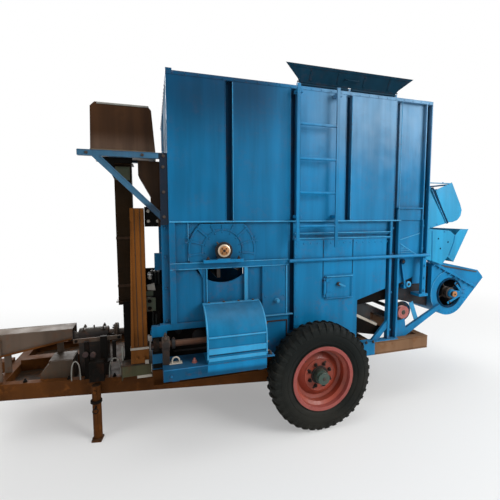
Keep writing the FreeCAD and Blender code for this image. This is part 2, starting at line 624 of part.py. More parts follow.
covers = []
for side, sign in SIDES:
    low_y = "panel_out" if sign > 0 else "-(panel_out + 12)"
    disc = rod(f"cover_disc_{side}", "Y", "cover_radius", ("drum_x", low_y, "drum_height"), "12")
    shaft_hole = rod(f"cover_hole_{side}", "Y", "drum_shaft_radius + free_gap + 8",
                     ("drum_x", low_y, "drum_height"), "12")
    window = block(f"cover_window_{side}", ("drum_x - 240", "drum_x + 240"),
                   ("panel_out - 1", "panel_out + 13"), ("bar_top + 0.3", "hopper_base - 14"), sign)
    kept = doc.addObject("Part::MultiCommon", f"cover_kept_{side}")
    kept.Shapes = [disc, window]
    covers.append(cut(f"cover_{side}", kept, shaft_hole))
node(group("covers", *covers), "drum_covers")

rails = []
for side, sign in SIDES:
    rails.append(block(f"crossbar_{side}", ("mid_post_front", "post_front"),
                       ("panel_out", "body_half - 2"), ("bar_base", "bar_top"), sign))
    for index, low in enumerate(("472", "742")):
        rails.append(block(f"upright_{side}_{index}", (low, f"{low} + upright_width"),
                           ("panel_out", "body_half - 6"), ("sill_top", "bar_base"), sign))

pipes = []
for side, sign in SIDES:
    pipe_y = "body_half + rail_pipe_radius + seat_gap" if sign > 0 else \
        "-(body_half + rail_pipe_radius + seat_gap)"
    pipes.append(rod(f"pipe_{side}", "X", "rail_pipe_radius",
                     ("-body_rear - 8", pipe_y, "bar_top - rail_pipe_radius"),
                     "body_rear + 8 + mid_post_front"))
node(group("pipes", *pipes), "side_rails")

panel_front = "mid_post_front - mid_post_width"
panel_rear = "-tail_post_front + tail_gap"
MAIN = [(panel_front, "frame_top"), (panel_front, "header_base"), (panel_rear, "header_base"),
        (panel_rear, "900"), ("-371", "828"), ("-371", "frame_top")]
door_x = ("-326", "-100")
door_z = ("854", "1031")
hinge_x = "-92"
hinge_y = "body_half + 11"
for side, sign in SIDES:
    skin = prism(f"main_skin_{side}", "side", MAIN, "body_half - 15", "body_half", sign)
    if sign > 0:
        hatch = block("hatch", (f"{door_x[0]} + 14", f"{door_x[1]} - 14"),
                      ("body_half - 16", "body_half + 1"), (f"{door_z[0]} + 14", f"{door_z[1]} - 14"))
        skin = cut("main_open", skin, hatch)
        knuckles = [rod("door_pin", "Z", "4", (hinge_x, hinge_y, f"{door_z[0]} + 20"), "137")]
        for index, low in enumerate(("20", "145")):
            knuckles.append(block(f"door_knuckle_{index}", (f"{hinge_x} - 5", f"{hinge_x} + 7"),
                                  ("body_half - 1", f"{hinge_y} + 6"),
                                  (f"{door_z[0]} + {low}", f"{door_z[0]} + {low} + 12")))
        skin = fuse("main_with_hinge", skin, *knuckles)
    node(skin, f"main_panel_{side}")

door_plate = block("door_plate", door_x, ("body_half + seat_gap", "body_half + seat_gap + 6"), door_z)
door_strap = block("door_strap", (f"{door_x[1]} - 30", f"{hinge_x}"),
                   (f"{hinge_y} - 5", f"{hinge_y} + 4"), (f"{door_z[0]} + 40", f"{door_z[0]} + 137"))
door_barrel = rod("door_barrel", "Z", "8", (hinge_x, hinge_y, f"{door_z[0]} + 40"), "97")
door_solid = fuse("door_solid", door_plate, door_strap, door_barrel)
door_bore = rod("door_bore", "Z", "4 + shaft_gap", (hinge_x, hinge_y, f"{door_z[0]} + 30"), "120")
node(cut("door", door_solid, door_bore), "inspection_door")

headers = []
header_x = ("-tail_post_front", panel_front)
for side, sign in SIDES:
    skin = block(f"header_skin_{side}", header_x, ("wall_in", "wall_in + 15"),
                 ("header_base", "hopper_base"), sign)
    low_ledge = block(f"header_low_{side}", header_x, ("wall_in", "body_half - 3"),
                      ("header_base", "header_base + 12"), sign)
    top_ledge = block(f"header_top_{side}", header_x, ("wall_in", "body_half - 10"),
                      ("header_base + 34", "header_base + 52"), sign)
    headers.append(fuse(f"header_{side}", skin, low_ledge, top_ledge))
node(group("side_bars", *rails, *headers), "side_crossbars")

aprons = []
for side, sign in SIDES:
    skin = block(f"apron_skin_{side}", ("mid_post_front", "375"), ("wall_in + 6", "body_half - 12"),
                 ("frame_top", "sill_top - sill_depth"), sign)
    aprons.append(skin)
    aprons.append(block(f"apron_tray_{side}", ("mid_post_front + 8", "372"),
                        ("panel_out", "body_half - 4"), ("sill_top", "bar_base"), sign))

bay_front = "-tail_post_front - tail_post_width"
bay_rear = "-body_rear + rear_post_width"
BAY_LOW = [(bay_front, "888"), (bay_front, "bar_top"), (bay_rear, "bar_top"), (bay_rear, "962")]
for side, sign in SIDES:
    top_skin = block(f"bay_top_{side}", (bay_rear, bay_front), ("body_half - 28", "body_half - 20"),
                     ("bar_top - 8", "hopper_base"), sign)
    shelf_skin = block(f"bay_shelf_{side}", (bay_rear, bay_front), ("sieve_half + 15", "body_half - 20"),
                       ("bar_top - 8", "bar_top"), sign)
    low_skin = prism(f"bay_low_skin_{side}", "side", BAY_LOW, "sieve_half + 15", "sieve_half + 23", sign)
    aprons.append(fuse(f"bay_skin_{side}", top_skin, shelf_skin, low_skin))
node(group("aprons", *aprons), "side_aprons")

# ladder on the left side
ladder_parts = []
for name, middle, low in (("front", "140", "header_base"), ("rear", "-150", "1237")):
    ladder_parts.append(block(f"stile_{name}", (f"{middle} - 12", f"{middle} + 12"),
                              ("ladder_in", "ladder_in + ladder_thick"), (low, "body_top - 8")))
    for level, height in (("top", "body_top - 60"), ("low", "hopper_base + 20")):
        ladder_parts.append(block(f"stand_off_{name}_{level}", (f"{middle} - 32", f"{middle} + 12"),
                                  ("body_half", "ladder_in + 1"), (height, f"{height} + 20")))
for index in range(4):
    height = f"header_base + 100 + {index} * 225"
    ladder_parts.append(rod(f"rung_{index}", "X", "10", ("-150", "ladder_in", height), "290"))
node(fuse("ladder_parts", *ladder_parts), "ladder")

# ---------------------------------------------------------------- threshing drum
shaft_end = "bearing_out + 8"
drum_parts = [rod("drum_shaft", "Y", "drum_shaft_radius", ("drum_x", f"-({shaft_end})", "drum_height"),
                  f"2 * ({shaft_end})"),
              rod("drum_core", "Y", "drum_core_radius", ("drum_x", "-drum_half", "drum_height"),
                  "2 * drum_half")]
for index in range(8):
    beater = doc.addObject("Part::Box", f"beater_{index}")
    bind(beater, "Length", "drum_tip_radius")
    bind(beater, "Width", "2 * drum_half")
    bind(beater, "Height", "24")
    beater.Placement = FreeCAD.Placement(FreeCAD.Vector(), FreeCAD.Rotation(FreeCAD.Vector(0, 1, 0),
                                                                           index * 45))
    bind(beater, ".Placement.Base.x", "axle_x + drum_x")
    bind(beater, ".Placement.Base.y", "-drum_half")
    bind(beater, ".Placement.Base.z", "drum_height")
    drum_parts.append(beater)
node(fuse("drum_parts", *drum_parts), "threshing_drum")

bearings = []
for side, sign in SIDES:
    low_y = "panel_out + 13" if sign > 0 else "-bearing_out"
    housing = rod(f"housing_{side}", "Y", "bearing_radius", ("drum_x", low_y, "drum_height"),
                  "bearing_out - panel_out - 13")
    pedestal = block(f"pedestal_{side}", ("drum_x - 42", "drum_x + 42"),
                     ("panel_out + 13", "bearing_out"), ("bar_top", "drum_height"), sign)
    base = block(f"base_{side}", ("drum_x - 130", "drum_x + 130"), ("panel_out + 13", "bearing_out"),
                 ("bar_top", "bar_top + 20"), sign)
    whole = fuse(f"bearing_whole_{side}", housing, pedestal, base)
    inner = rod(f"bearing_bore_{side}", "Y", "drum_shaft_radius + shaft_gap",
                ("drum_x", f"{low_y} - 1", "drum_height"), "bearing_out - panel_out - 11")
    bearings.append(cut(f"bearing_{side}", whole, inner))
node(group("bearings", *bearings), "drum_bearings")

# ---------------------------------------------------------------- platform, guard and drive line
deck = [block("deck_plate", ("deck_rear", "deck_front"), ("body_half + 2", "deck_out"),
              ("deck_height - 8", "deck_height")),
        block("deck_skirt_plate", ("deck_rear", "deck_front"), ("deck_out - 8", "deck_out"),
              ("deck_height - deck_skirt", "deck_height"))]
for name, low in (("rear", "deck_rear"), ("front", "deck_front - 8")):
    deck.append(block(f"deck_end_{name}", (low, f"{low} + 8"), ("body_half + 2", "deck_out"),
                      ("deck_height - deck_skirt", "deck_height")))
for name, low in (("rear", "deck_rear + 17"), ("front", "deck_front - 90")):
    deck.append(block(f"deck_arm_{name}", (low, f"{low} + 40"), ("body_half - 4", "deck_out - 7"),
                      ("frame_top", "deck_height - 7")))
node(fuse("deck_parts", *deck), "guard_platform")

bend = "deck_out - 4 - body_half - 2"
GUARD = [("body_half - 6", "guard_top"), ("body_half + 2", "guard_top"),
         ("deck_out - 4", f"guard_top - ({bend})", f"-({bend})"), ("deck_out - 4", "deck_height"),
         ("deck_out - 4 - sheet", "deck_height"), ("deck_out - 4 - sheet", f"guard_top - ({bend})"),
         ("body_half + 2", "guard_top - sheet", f"{bend} - sheet"),
         ("body_half - 6", "guard_top - sheet")]
node(prism("guard_sheet", "end", GUARD, "deck_rear", "guard_front"), "pulley_guard")


def pedestal_bearing(name, x, y, height, radius, half_width, base):
    """Bearing on a block that stands on a base height, bored along X for a shaft."""
    housing = rod(f"{name}_housing", "X", half_width, (x[0], y, height), f"({x[1]}) - ({x[0]})")
    stand = block(f"{name}_stand", x, (f"{y} - {half_width} + 4", f"{y} + {half_width} - 4"),
                  (base, height))
    inner = rod(f"{name}_bore", "X", f"{radius} + shaft_gap", (f"{x[0]} - 1", y, height),
                f"({x[1]}) - ({x[0]}) + 2")
    return cut(name, fuse(f"{name}_whole", housing, stand), inner)


shaft_bearings = [
    pedestal_bearing("bearing_line_front", ("990", "1030"), "line_y", "line_height",
                     "line_radius", "46", "deck_height"),
    pedestal_bearing("bearing_line_rear", ("415", "455"), "line_y", "line_height",
                     "line_radius", "46", "deck_height"),
    pedestal_bearing("bearing_input_rear", ("1234", "1274"), "input_y", "input_height",
                     "input_radius", "48", "front_deck_top"),
    pedestal_bearing("bearing_input_front", ("1385", "1570"), "input_y", "input_height",
                     "input_radius", "48", "member_top")]
node(group("shaft_bearings_all", *shaft_bearings), "shaft_bearings")

node(fuse("line_parts",
          rod("line_bar", "X", "line_radius", ("400", "line_y", "line_height"), "690"),
          rod("line_pulley", "X", "line_pulley_radius", ("540", "line_y", "line_height"), "130"),
          rod("line_yoke", "X", "line_radius + 18", ("1050", "line_y", "line_height"), "45")),
     "line_shaft")
node(fuse("input_parts",
          rod("input_bar", "X", "input_radius", ("1115", "input_y", "input_height"),
              "input_front - spline_length - 1115"),
          rod("input_stub", "X", "spline_radius", ("input_front - spline_length - 1", "input_y",
                                                   "input_height"), "spline_length + 1"),
          rod("input_pulley", "X", "input_pulley_radius", ("1130", "input_y", "input_height"), "70"),
          rod("input_flange", "X", "input_radius + 40", ("1320", "input_y", "input_height"), "24")),
     "input_shaft")

SHADE = [("1600", "700"), ("1600", "630"), ("2060", "548"), ("2060", "700")]
SHADE_IN = [("1599", "695"), ("1599", "600"), ("2061", "500"), ("2061", "695")]
shade = cut("shade_shell", prism("shade_out", "side", SHADE, "input_y - shade_half", "input_y + shade_half"),
            prism("shade_in", "side", SHADE_IN, "input_y + sheet - shade_half",
                  "input_y + shade_half - sheet"))
shade_legs = [block("shade_leg_tray", ("1690", "1730"),
                    ("input_y - shade_half - 12", "input_y - shade_half"), ("member_top", "670"))]
for name, low in (("far", "input_y - shade_half - 12"), ("near", "input_y + shade_half")):
    shade_legs.append(block(f"shade_leg_{name}", ("2008", "2048"), (low, f"{low} + 12"),
                            ("rail_base", "670")))
node(fuse("shade", shade, *shade_legs), "pto_guard")

# ---------------------------------------------------------------- front shelf and grain side
shelf_parts = []
arm_y = ("body_half - 35", "body_half - 5")
BRACE = [("body_front + 44", "bracket_base + 29"), ("body_front + 44", "bracket_base + 75"),
         ("shelf_reach - 118", "shelf_height - shelf_depth + 1"),
         ("shelf_reach - 72", "shelf_height - shelf_depth + 1")]
shelf_parts.append(block("arm", ("body_front", "shelf_reach"), arm_y,
                         ("shelf_height - shelf_depth", "shelf_height")))
shelf_parts.append(block("arm_mount", ("body_front", "body_front + flange_reach"), arm_y,
                         ("bracket_base", "shelf_height - shelf_depth + 1")))
shelf_parts.append(prism("arm_brace", "side", BRACE, *arm_y))
shelf_z = ("shelf_height - shelf_plate", "shelf_height")
shelf_parts.append(block("far_arm", ("body_front", "box_front"), ("box_far - 30", "box_far + 10"), shelf_z))
for name, low in (("rear", "box_rear + 14"), ("front", "box_front - 44")):
    shelf_parts.append(block(f"shelf_bar_{name}", (low, f"{low} + 30"),
                             ("box_far", "body_half - 34"), shelf_z))
node(fuse("shelf_parts", *shelf_parts), "shelf_bracket")

BOX = [("box_rear", "shelf_height"), ("box_front", "shelf_height"), ("box_front - 8", "box_top - 26"),
       ("box_front - 34", "box_top"), ("box_rear + 46", "box_top"), ("box_rear + 22", "box_top - 26")]
BOX_IN = [("box_rear + sheet", "shelf_height + sheet"), ("box_front - sheet", "shelf_height + sheet"),
          ("box_front - 8 - sheet", "box_top - 28"), ("box_front - 36", "box_top - sheet"),
          ("box_rear + 48", "box_top - sheet"), ("box_rear + 22 + sheet", "box_top - 28")]
box_shell = cut("box_shell", prism("box_out", "side", BOX, "box_far", "box_near"),
                prism("box_in", "side", BOX_IN, "box_far + sheet", "box_near - sheet"))
duct_x = ("duct_rear", "duct_front")
duct_y = ("duct_far", "duct_near")
throat_x = ("duct_rear + tube_wall", "duct_front - tube_wall")
throat_y = ("duct_far + tube_wall", "duct_near - tube_wall")
throat = block("throat", throat_x, throat_y, ("shelf_height - 1", "shelf_height + sheet + 1"))
node(cut("grain_box_cut", box_shell, throat), "grain_box")
duct_body = block("duct_body", duct_x, duct_y, ("duct_base", "shelf_height"))
duct_hollow = block("duct_hollow", throat_x, throat_y, ("duct_base - 1", "shelf_height + 1"))
node(cut("duct", duct_body, duct_hollow), "bagging_duct")
node(fuse("leg_post",
          block("post_tube", ("leg_post_rear", "leg_post_front"),
                ("leg_post_near - 80", "leg_post_near"), ("front_deck_top", "leg_post_top")),
          block("post_socket", ("leg_post_rear - 8", "leg_post_front + 8"),
                ("leg_post_near - 88", "leg_post_near + 8"),
                ("front_deck_top", "front_deck_top + 110")),
          block("post_strap", ("duct_rear", "leg_post_front"),
                ("duct_near + seat_gap", "leg_post_near - 79"),
                ("leg_post_top - 100", "leg_post_top - 60"))), "support_post")
CHUTE_BACK = [("body_front", "1385"), ("body_front + 60", "1385"), ("body_front + 60", "1500"),
              ("body_front + 103", "1535"), ("body_front + 103", "1579"), ("body_front + 172", "1707"),
              ("body_front + 172", "shelf_height - shelf_depth - 5"),
              ("body_front", "shelf_height - shelf_depth - 5")]
node(prism("chute_back", "side", CHUTE_BACK, "330", "560"), "return_chute")

# ---------------------------------------------------------------- rear end
straw_parts = []
CHEEK = [("-body_rear", "1108"), ("-1068", "1092"), ("-1173", "1056"), ("-1228", "1120"),
         ("-1290", "1073"), ("-1435", "1344"), ("-1345", "1341"), ("-1297", "1293"), ("-1240", "1332"),
         ("-1020", "1350"), ("-1193", "1392"), ("-body_rear", "1680")]
for side, sign in SIDES:
    straw_parts.append(prism(f"cheek_{side}", "side", CHEEK, "panel_out - 6", "panel_out", sign))
FLOOR = [("-body_rear", "1120"), ("-1226", "1120"), ("-1286", "1077"), ("-1286", "1084"),
         ("-1224", "1127"), ("-body_rear", "1127")]
LIP = [("-1288", "1077"), ("-1431", "1342"), ("-1423", "1342"), ("-1280", "1077")]
straw_parts.append(prism("chute_floor", "side", FLOOR, "-panel_out + 5", "panel_out - 5"))
straw_parts.append(prism("chute_lip", "side", LIP, "-panel_out + 5", "panel_out - 5"))
node(fuse("straw_chute_parts", *straw_parts), "straw_chute")

hood_parts = []
HOOD = [("-1075", "1656"), ("-1212", "1400"), ("-1262", "1402"), ("-1310", "1418"), ("-1342", "1452"),
        ("-1352", "1500"), ("-1335", "1545"), ("-1238", "1721")]
HOOD_BACK = [("-1310", "1418"), ("-1306", "1424"), ("-1336", "1454"), ("-1346", "1499"),
             ("-1329", "1543"), ("-1284", "1624"), ("-1290", "1627"), ("-1335", "1545"),
             ("-1352", "1500"), ("-1342", "1452")]
STRIP = [("-body_rear - 1", "1655"), ("-1178", "1388"), ("-1224", "1402"), ("-1085", "1662"),
         ("-body_rear - 1", "1690")]
hood_parts.append(prism("hood_back", "side", HOOD_BACK, "-panel_out + 5", "panel_out - 5"))
hood_parts.append(rod("hood_tie", "Y", "6", ("-1228", "-panel_out + 1", "1704"), "2 * panel_out - 2"))
for side, sign in SIDES:
    hood_parts.append(prism(f"hood_cheek_{side}", "side", HOOD, "panel_out - 6", "panel_out", sign))
    hood_parts.append(prism(f"hood_strip_{side}", "side", STRIP, "panel_out - 26", "panel_out - 6", sign))
    stay_y = "panel_out - 4" if sign > 0 else "-(panel_out - 4)"
    hood_parts.append(rod(f"hood_stay_{side}", "X", "4", ("-1234", stay_y, "1712"), "1234 - body_rear"))
node(fuse("hood", *hood_parts), "straw_hood")

# blower: a scroll round the fan that opens into a mouth at the rear top
mouth_run = "(rear_reach - fan_x)"
mouth_rise = "110"
reach_square = f"({mouth_run} ^ 2 + {mouth_rise} ^ 2)"


def scroll(inset):
    """Outline of the scroll, drawn inset from its outside; an inset one passes out of the mouth."""
    radius = f"(fan_radius - {inset})"
    across = f"(fan_radius * sqrt({reach_square} - fan_radius ^ 2) / {reach_square})"
    along = f"(fan_radius ^ 2 / {reach_square})"
    touch_x = f"(({along} * {mouth_run} + {across} * {mouth_rise}) * {radius} / fan_radius)"
    touch_z = f"(({along} * {mouth_rise} - {across} * {mouth_run}) * {radius} / fan_radius)"
    past = "0" if inset == "0" else "30"
    return [(f"-fan_x + {radius}", f"fan_height + 258 - {inset}"),
            (f"-fan_x + {radius}", "fan_height"),
            (f"-fan_x - {touch_x}", f"fan_height + {touch_z}", f"-{radius}"),
            (f"-rear_reach + {inset} * 0.9 - {past}", f"fan_height + {mouth_rise} + {past} + {inset} * 0.7"),
            (f"-rear_reach + 70 - {past}", f"fan_height + 178 - {inset}")]


shell = cut("scroll_shell", prism("scroll_out", "side", scroll("0"), "-fan_half", "fan_half"),
            prism("scroll_in", "side", scroll("sheet"), "-fan_half + sheet", "fan_half - sheet"))
inlet = rod("inlet", "Y", "inlet_radius", ("-fan_x", "-fan_half - 1", "fan_height"), "2 * fan_half + 2")
casing = [cut("scroll_cut", shell, inlet)]
WEDGE = [("-1022", "1108"), ("-1058", "1088"), ("-1575", "835"), ("-1655", "931"), ("-1600", "986")]
WEDGE_BAR = [("-1058", "1088"), ("-1575", "835"), ("-1585", "855"), ("-1068", "1108")]
for side, sign in SIDES:
    start = "fan_half + 2" if sign > 0 else "-(fan_half + 40)"
    casing.append(block(f"strap_foot_{side}", ("-fan_x - 160", "-fan_x - 128"),
                        ("fan_half - 1", "fan_half + 12"), ("fan_height - 17", "fan_height + 17"), sign))
    casing.append(block(f"strap_{side}", ("-fan_x - 160", "-fan_x"), ("fan_half + 6", "fan_half + 12"),
                        ("fan_height - 12", "fan_height + 12"), sign))
    casing.append(rod(f"strap_ring_{side}", "Y", "34", ("-fan_x", start, "fan_height"), "38"))
    casing.append(prism(f"wedge_{side}", "side", WEDGE, "fan_half - 1", "fan_half + sheet", sign))
    casing.append(prism(f"wedge_bar_{side}", "side", WEDGE_BAR, "fan_half - 1", "fan_half + 14", sign))
fan_bore = rod("fan_bore", "Y", "rotor_shaft_radius + shaft_gap",
               ("-fan_x", "-fan_half - 50", "fan_height"), "2 * fan_half + 100")
node(cut("blower", fuse("casing", *casing), fan_bore), "blower_housing")

rotor = [rod("rotor_shaft", "Y", "rotor_shaft_radius", ("-fan_x", "-fan_half - 56", "fan_height"),
             "2 * fan_half + 112"),
         rod("rotor_hub", "Y", "48", ("-fan_x", "-rotor_half", "fan_height"), "2 * rotor_half")]
for index in range(4):
    blade = doc.addObject("Part::Box", f"blade_{index}")
    bind(blade, "Length", "rotor_radius")
    bind(blade, "Width", "2 * rotor_half")
    bind(blade, "Height", "6")
    blade.Placement = FreeCAD.Placement(FreeCAD.Vector(), FreeCAD.Rotation(FreeCAD.Vector(0, 1, 0),
                                                                          index * 90 + 30))
    bind(blade, ".Placement.Base.x", "axle_x - fan_x")
    bind(blade, ".Placement.Base.y", "-rotor_half")
    bind(blade, ".Placement.Base.z", "fan_height")
    rotor.append(blade)
node(fuse("rotor", *rotor), "blower_rotor")

# sieve shoe and the suction duct behind it
duct_tail = "-fan_x + fan_radius + seat_gap"
SUCTION = [("-750", "790"), ("-750", "925"), (duct_tail, "1035"), (duct_tail, "700")]
SUCTION_IN = [("-749", "796"), ("-749", "919"), (f"{duct_tail} - 1", "1029"),
              (f"{duct_tail} - 1", "706")]
suction = cut("suction", prism("suction_out", "side", SUCTION, "-sieve_half", "sieve_half"),
              prism("suction_in", "side", SUCTION_IN, "-sieve_half + 6", "sieve_half - 6"))
TRAY_TOP = [("-150", "860"), ("-740", "625"), ("-740", "670"), ("-150", "905")]
TRAY_LOW = [("-150", "745"), ("-620", "560"), ("-620", "605"), ("-150", "790")]
TRAY_SIDE = [("-300", "730"), ("-560", "620"), ("-560", "700"), ("-300", "810")]
trays = [prism("tray_top", "side", TRAY_TOP, "-sieve_half", "sieve_half"),
         prism("tray_low", "side", TRAY_LOW, "-sieve_half", "sieve_half"),
         block("tray_arm", ("-700", "-670"), ("-wall_in", "wall_in"), ("655", "680"))]
for side, sign in SIDES:
    trays.append(prism(f"tray_side_{side}", "side", TRAY_SIDE, "sieve_half - 8", "sieve_half", sign))
node(group("sieves", suction, fuse("tray_parts", *trays)), "sieve_box")

links = []
LINK = [("-842", "900"), ("-858", "900"), ("-818", "1102"), ("-802", "1102")]
for side, sign in SIDES:
    links.append(fuse(f"link_{side}",
                      prism(f"link_bar_{side}", "side", LINK, "sieve_half + 30", "sieve_half + 42", sign),
                      block(f"link_top_{side}", ("-822", "-798"), ("sieve_half + 23", "sieve_half + 31"),
                            ("1080", "1104"), sign),
                      block(f"link_eye_{side}", ("-864", "-836"), ("sieve_half", "sieve_half + 42"),
                            ("872", "901"), sign)))
node(group("links", *links), "sieve_links")

# braces, foot plates and the struts under the blower
DIAGONAL = [("-tail_post_front", "585"), ("-570", foot_top), ("-507", foot_top),
            ("-tail_post_front", "650")]
STRUT = [("-750", "frame_top"), ("-765", "frame_top + 60"), ("-765", "735"), ("-821", "735"),
         ("-850", "556"), ("-1185", "722"), ("-1200", "692"), ("-850", "frame_top")]
for side, sign in SIDES:
    start = "fan_half - 1" if sign > 0 else "-(fan_half + 26)"
    strut = cut(f"strut_{side}", prism(f"strut_bar_{side}", "side", STRUT, "fan_half", "fan_half + 25",
                                       sign),
                rod(f"strut_bore_{side}", "Y", "jack_shaft_radius + shaft_gap",
                    ("-jack_x", start, "jack_height"), "27"))
    hanger = fuse(f"hanger_{side}",
                  block(f"hanger_bar_{side}", ("-body_rear", "-body_rear + 33"),
                        ("body_half - 35", "body_half - 5"), ("831", "bar_top"), sign),
                  block(f"hanger_foot_{side}", ("-body_rear - 30", "-body_rear + 59"),
                        ("sieve_half + seat_gap", "body_half - 5"), ("810", "832"), sign))
    brace = fuse(f"foot_{side}",
                 prism(f"diagonal_{side}", "side", DIAGONAL, "body_half - 25", "body_half - 5", sign),
                 block(f"foot_plate_{side}", ("-740", "-421"), ("wall_in", "rail_side"),
                       ("frame_top", foot_top), sign),
                 block(f"foot_side_{side}", ("-522", "-421"), ("rail_side", "rail_side + 8"),
                       ("rail_base + 6", foot_top), sign))
    node(group(f"braces_{side}", strut, hanger, brace), f"rear_braces_{side}")

jack = [rod("jack_bar", "Y", "jack_shaft_radius", ("-jack_x", "-(fan_half + 66)", "jack_height"),
            "2 * fan_half + 132")]
for side, sign in SIDES:
    start = "fan_half + 31" if sign > 0 else "-(fan_half + 61)"
    jack.append(rod(f"jack_pulley_{side}", "Y", "jack_radius", ("-jack_x", start, "jack_height"), "30"))
node(fuse("jack", *jack), "rear_pulley_shaft")

# ---------------------------------------------------------------- check and write every node
doc.recompute()
for thing in doc.Objects:
    if "Invalid" in thing.State or "Error" in thing.State:
        raise RuntimeError(f"{thing.Label} did not build: {thing.State}")
for piece in nodes:
    if piece.Shape.isNull() or not piece.Shape.isValid():
        raise RuntimeError(f"{piece.Label} has no valid shape")
os.makedirs("parts", exist_ok=True)
for piece in nodes:
    piece.Shape.exportStep(f"parts/{piece.Label}.step")
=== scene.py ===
"""A trailed blue thresher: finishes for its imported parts, and the trim, fixings and tyres around them."""
import json
from math import asin, atan2, cos, pi, radians, sin, sqrt

import bpy
from mathutils import Matrix, Vector


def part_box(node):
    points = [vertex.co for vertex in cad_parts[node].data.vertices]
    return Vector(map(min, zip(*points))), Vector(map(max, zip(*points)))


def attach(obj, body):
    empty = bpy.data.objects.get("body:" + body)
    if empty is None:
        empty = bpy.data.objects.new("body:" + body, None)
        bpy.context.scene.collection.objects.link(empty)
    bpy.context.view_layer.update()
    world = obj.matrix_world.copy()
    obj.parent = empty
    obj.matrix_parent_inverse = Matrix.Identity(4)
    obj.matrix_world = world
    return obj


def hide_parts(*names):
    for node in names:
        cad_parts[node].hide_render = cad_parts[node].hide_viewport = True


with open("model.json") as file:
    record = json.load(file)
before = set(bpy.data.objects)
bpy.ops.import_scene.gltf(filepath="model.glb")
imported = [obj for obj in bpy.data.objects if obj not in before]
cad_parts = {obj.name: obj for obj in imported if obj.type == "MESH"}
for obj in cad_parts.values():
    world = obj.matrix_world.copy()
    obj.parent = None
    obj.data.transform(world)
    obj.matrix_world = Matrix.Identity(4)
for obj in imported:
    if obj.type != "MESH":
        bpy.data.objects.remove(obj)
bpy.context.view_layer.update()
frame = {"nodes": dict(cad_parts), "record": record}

TAU = 2 * pi
AHEAD, LEFT, UP = Vector((1, 0, 0)), Vector((0, 1, 0)), Vector((0, 0, 1))
SCENE = bpy.context.scene
SLOT_OF = {part["node"]: part["material_slot"] for part in frame["record"]["subparts"]}


def middle(node):
    """The centre of a CAD node's box."""
    low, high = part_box(node)
    return (low + high) / 2


# The axle's place along the machine: many places ahead of it and behind it are measured from here.
AXLE = middle("tyre_left").x


def spoke(angle):
    """The direction at an angle in the machine's side view, from straight ahead towards up."""
    return Vector((cos(angle), 0, sin(angle)))


def around(count, first=0.0):
    """Angles evenly round a circle, the first of them a share of one step past straight ahead."""
    return [TAU * (k + first) / count for k in range(count)]


def spaced(start, end, count):
    """Evenly spaced values or points, both ends among them."""
    return [start + (end - start) * (k / (count - 1)) for k in range(count)]


# ---------------------------------------------------------------- camera
def add_camera():
    """A view from the machine's left, a little forward of its axle, at eye height."""
    data = bpy.data.cameras.new("camera")
    data.sensor_width = 36
    data.lens = 24.62
    data.shift_x, data.shift_y = -0.024, -0.012
    data.clip_end = 200
    camera = bpy.data.objects.new("camera", data)
    ahead = Vector((-0.300, -0.950, -0.087)).normalized()
    right = Vector((-0.954, 0.301, 0.0))
    right = (right - ahead * right.dot(ahead)).normalized()
    axes = Matrix((right, right.cross(ahead), -ahead)).transposed()
    camera.matrix_world = Matrix.Translation((0.5446, 2.8345, 1.4668)) @ axes.to_4x4()
    SCENE.collection.objects.link(camera)
    SCENE.camera = camera


# ---------------------------------------------------------------- finishes
class Nodes:
    """A node tree, and short ways to add to it."""

    def __init__(self, tree):
        self.tree = tree

    def feed(self, socket, value):
        """Gives a socket a number, a colour or another node's output."""
        if isinstance(value, bpy.types.NodeSocket):
            self.tree.links.new(value, socket)
        else:
            socket.default_value = (*value, 1) if socket.type == "RGBA" else value

    def add(self, kind, sockets, **settings):
        """Adds a node with its settings, and feeds the sockets named or numbered."""
        node = self.tree.nodes.new("ShaderNode" + kind)
        for setting, value in settings.items():
            setattr(node, setting, value)
        for socket, value in sockets.items():
            self.feed(node.inputs[socket], value)
        return node

    def maths(self, operation, first, second=0.0):
        """One sum of two values."""
        return self.add("Math", {0: first, 1: second}, operation=operation).outputs[0]

    def seen_directly(self):
        """1 for what the camera, a mirror or glass sees, 0 for the light that falls on things."""
        path = self.add("LightPath", {}).outputs
        seen = self.maths("MAXIMUM", path["Is Camera Ray"], path["Is Glossy Ray"])
        return self.maths("MAXIMUM", seen, path["Is Transmission Ray"])

    def show(self, share, plain, other, output):
        """Shows one shader, and the other as far as share says."""
        blend = self.add("MixShader", {0: share, 1: plain.outputs[0], 2: other.outputs[0]})
        self.tree.links.new(blend.outputs[0], self.tree.nodes[output].inputs["Surface"])


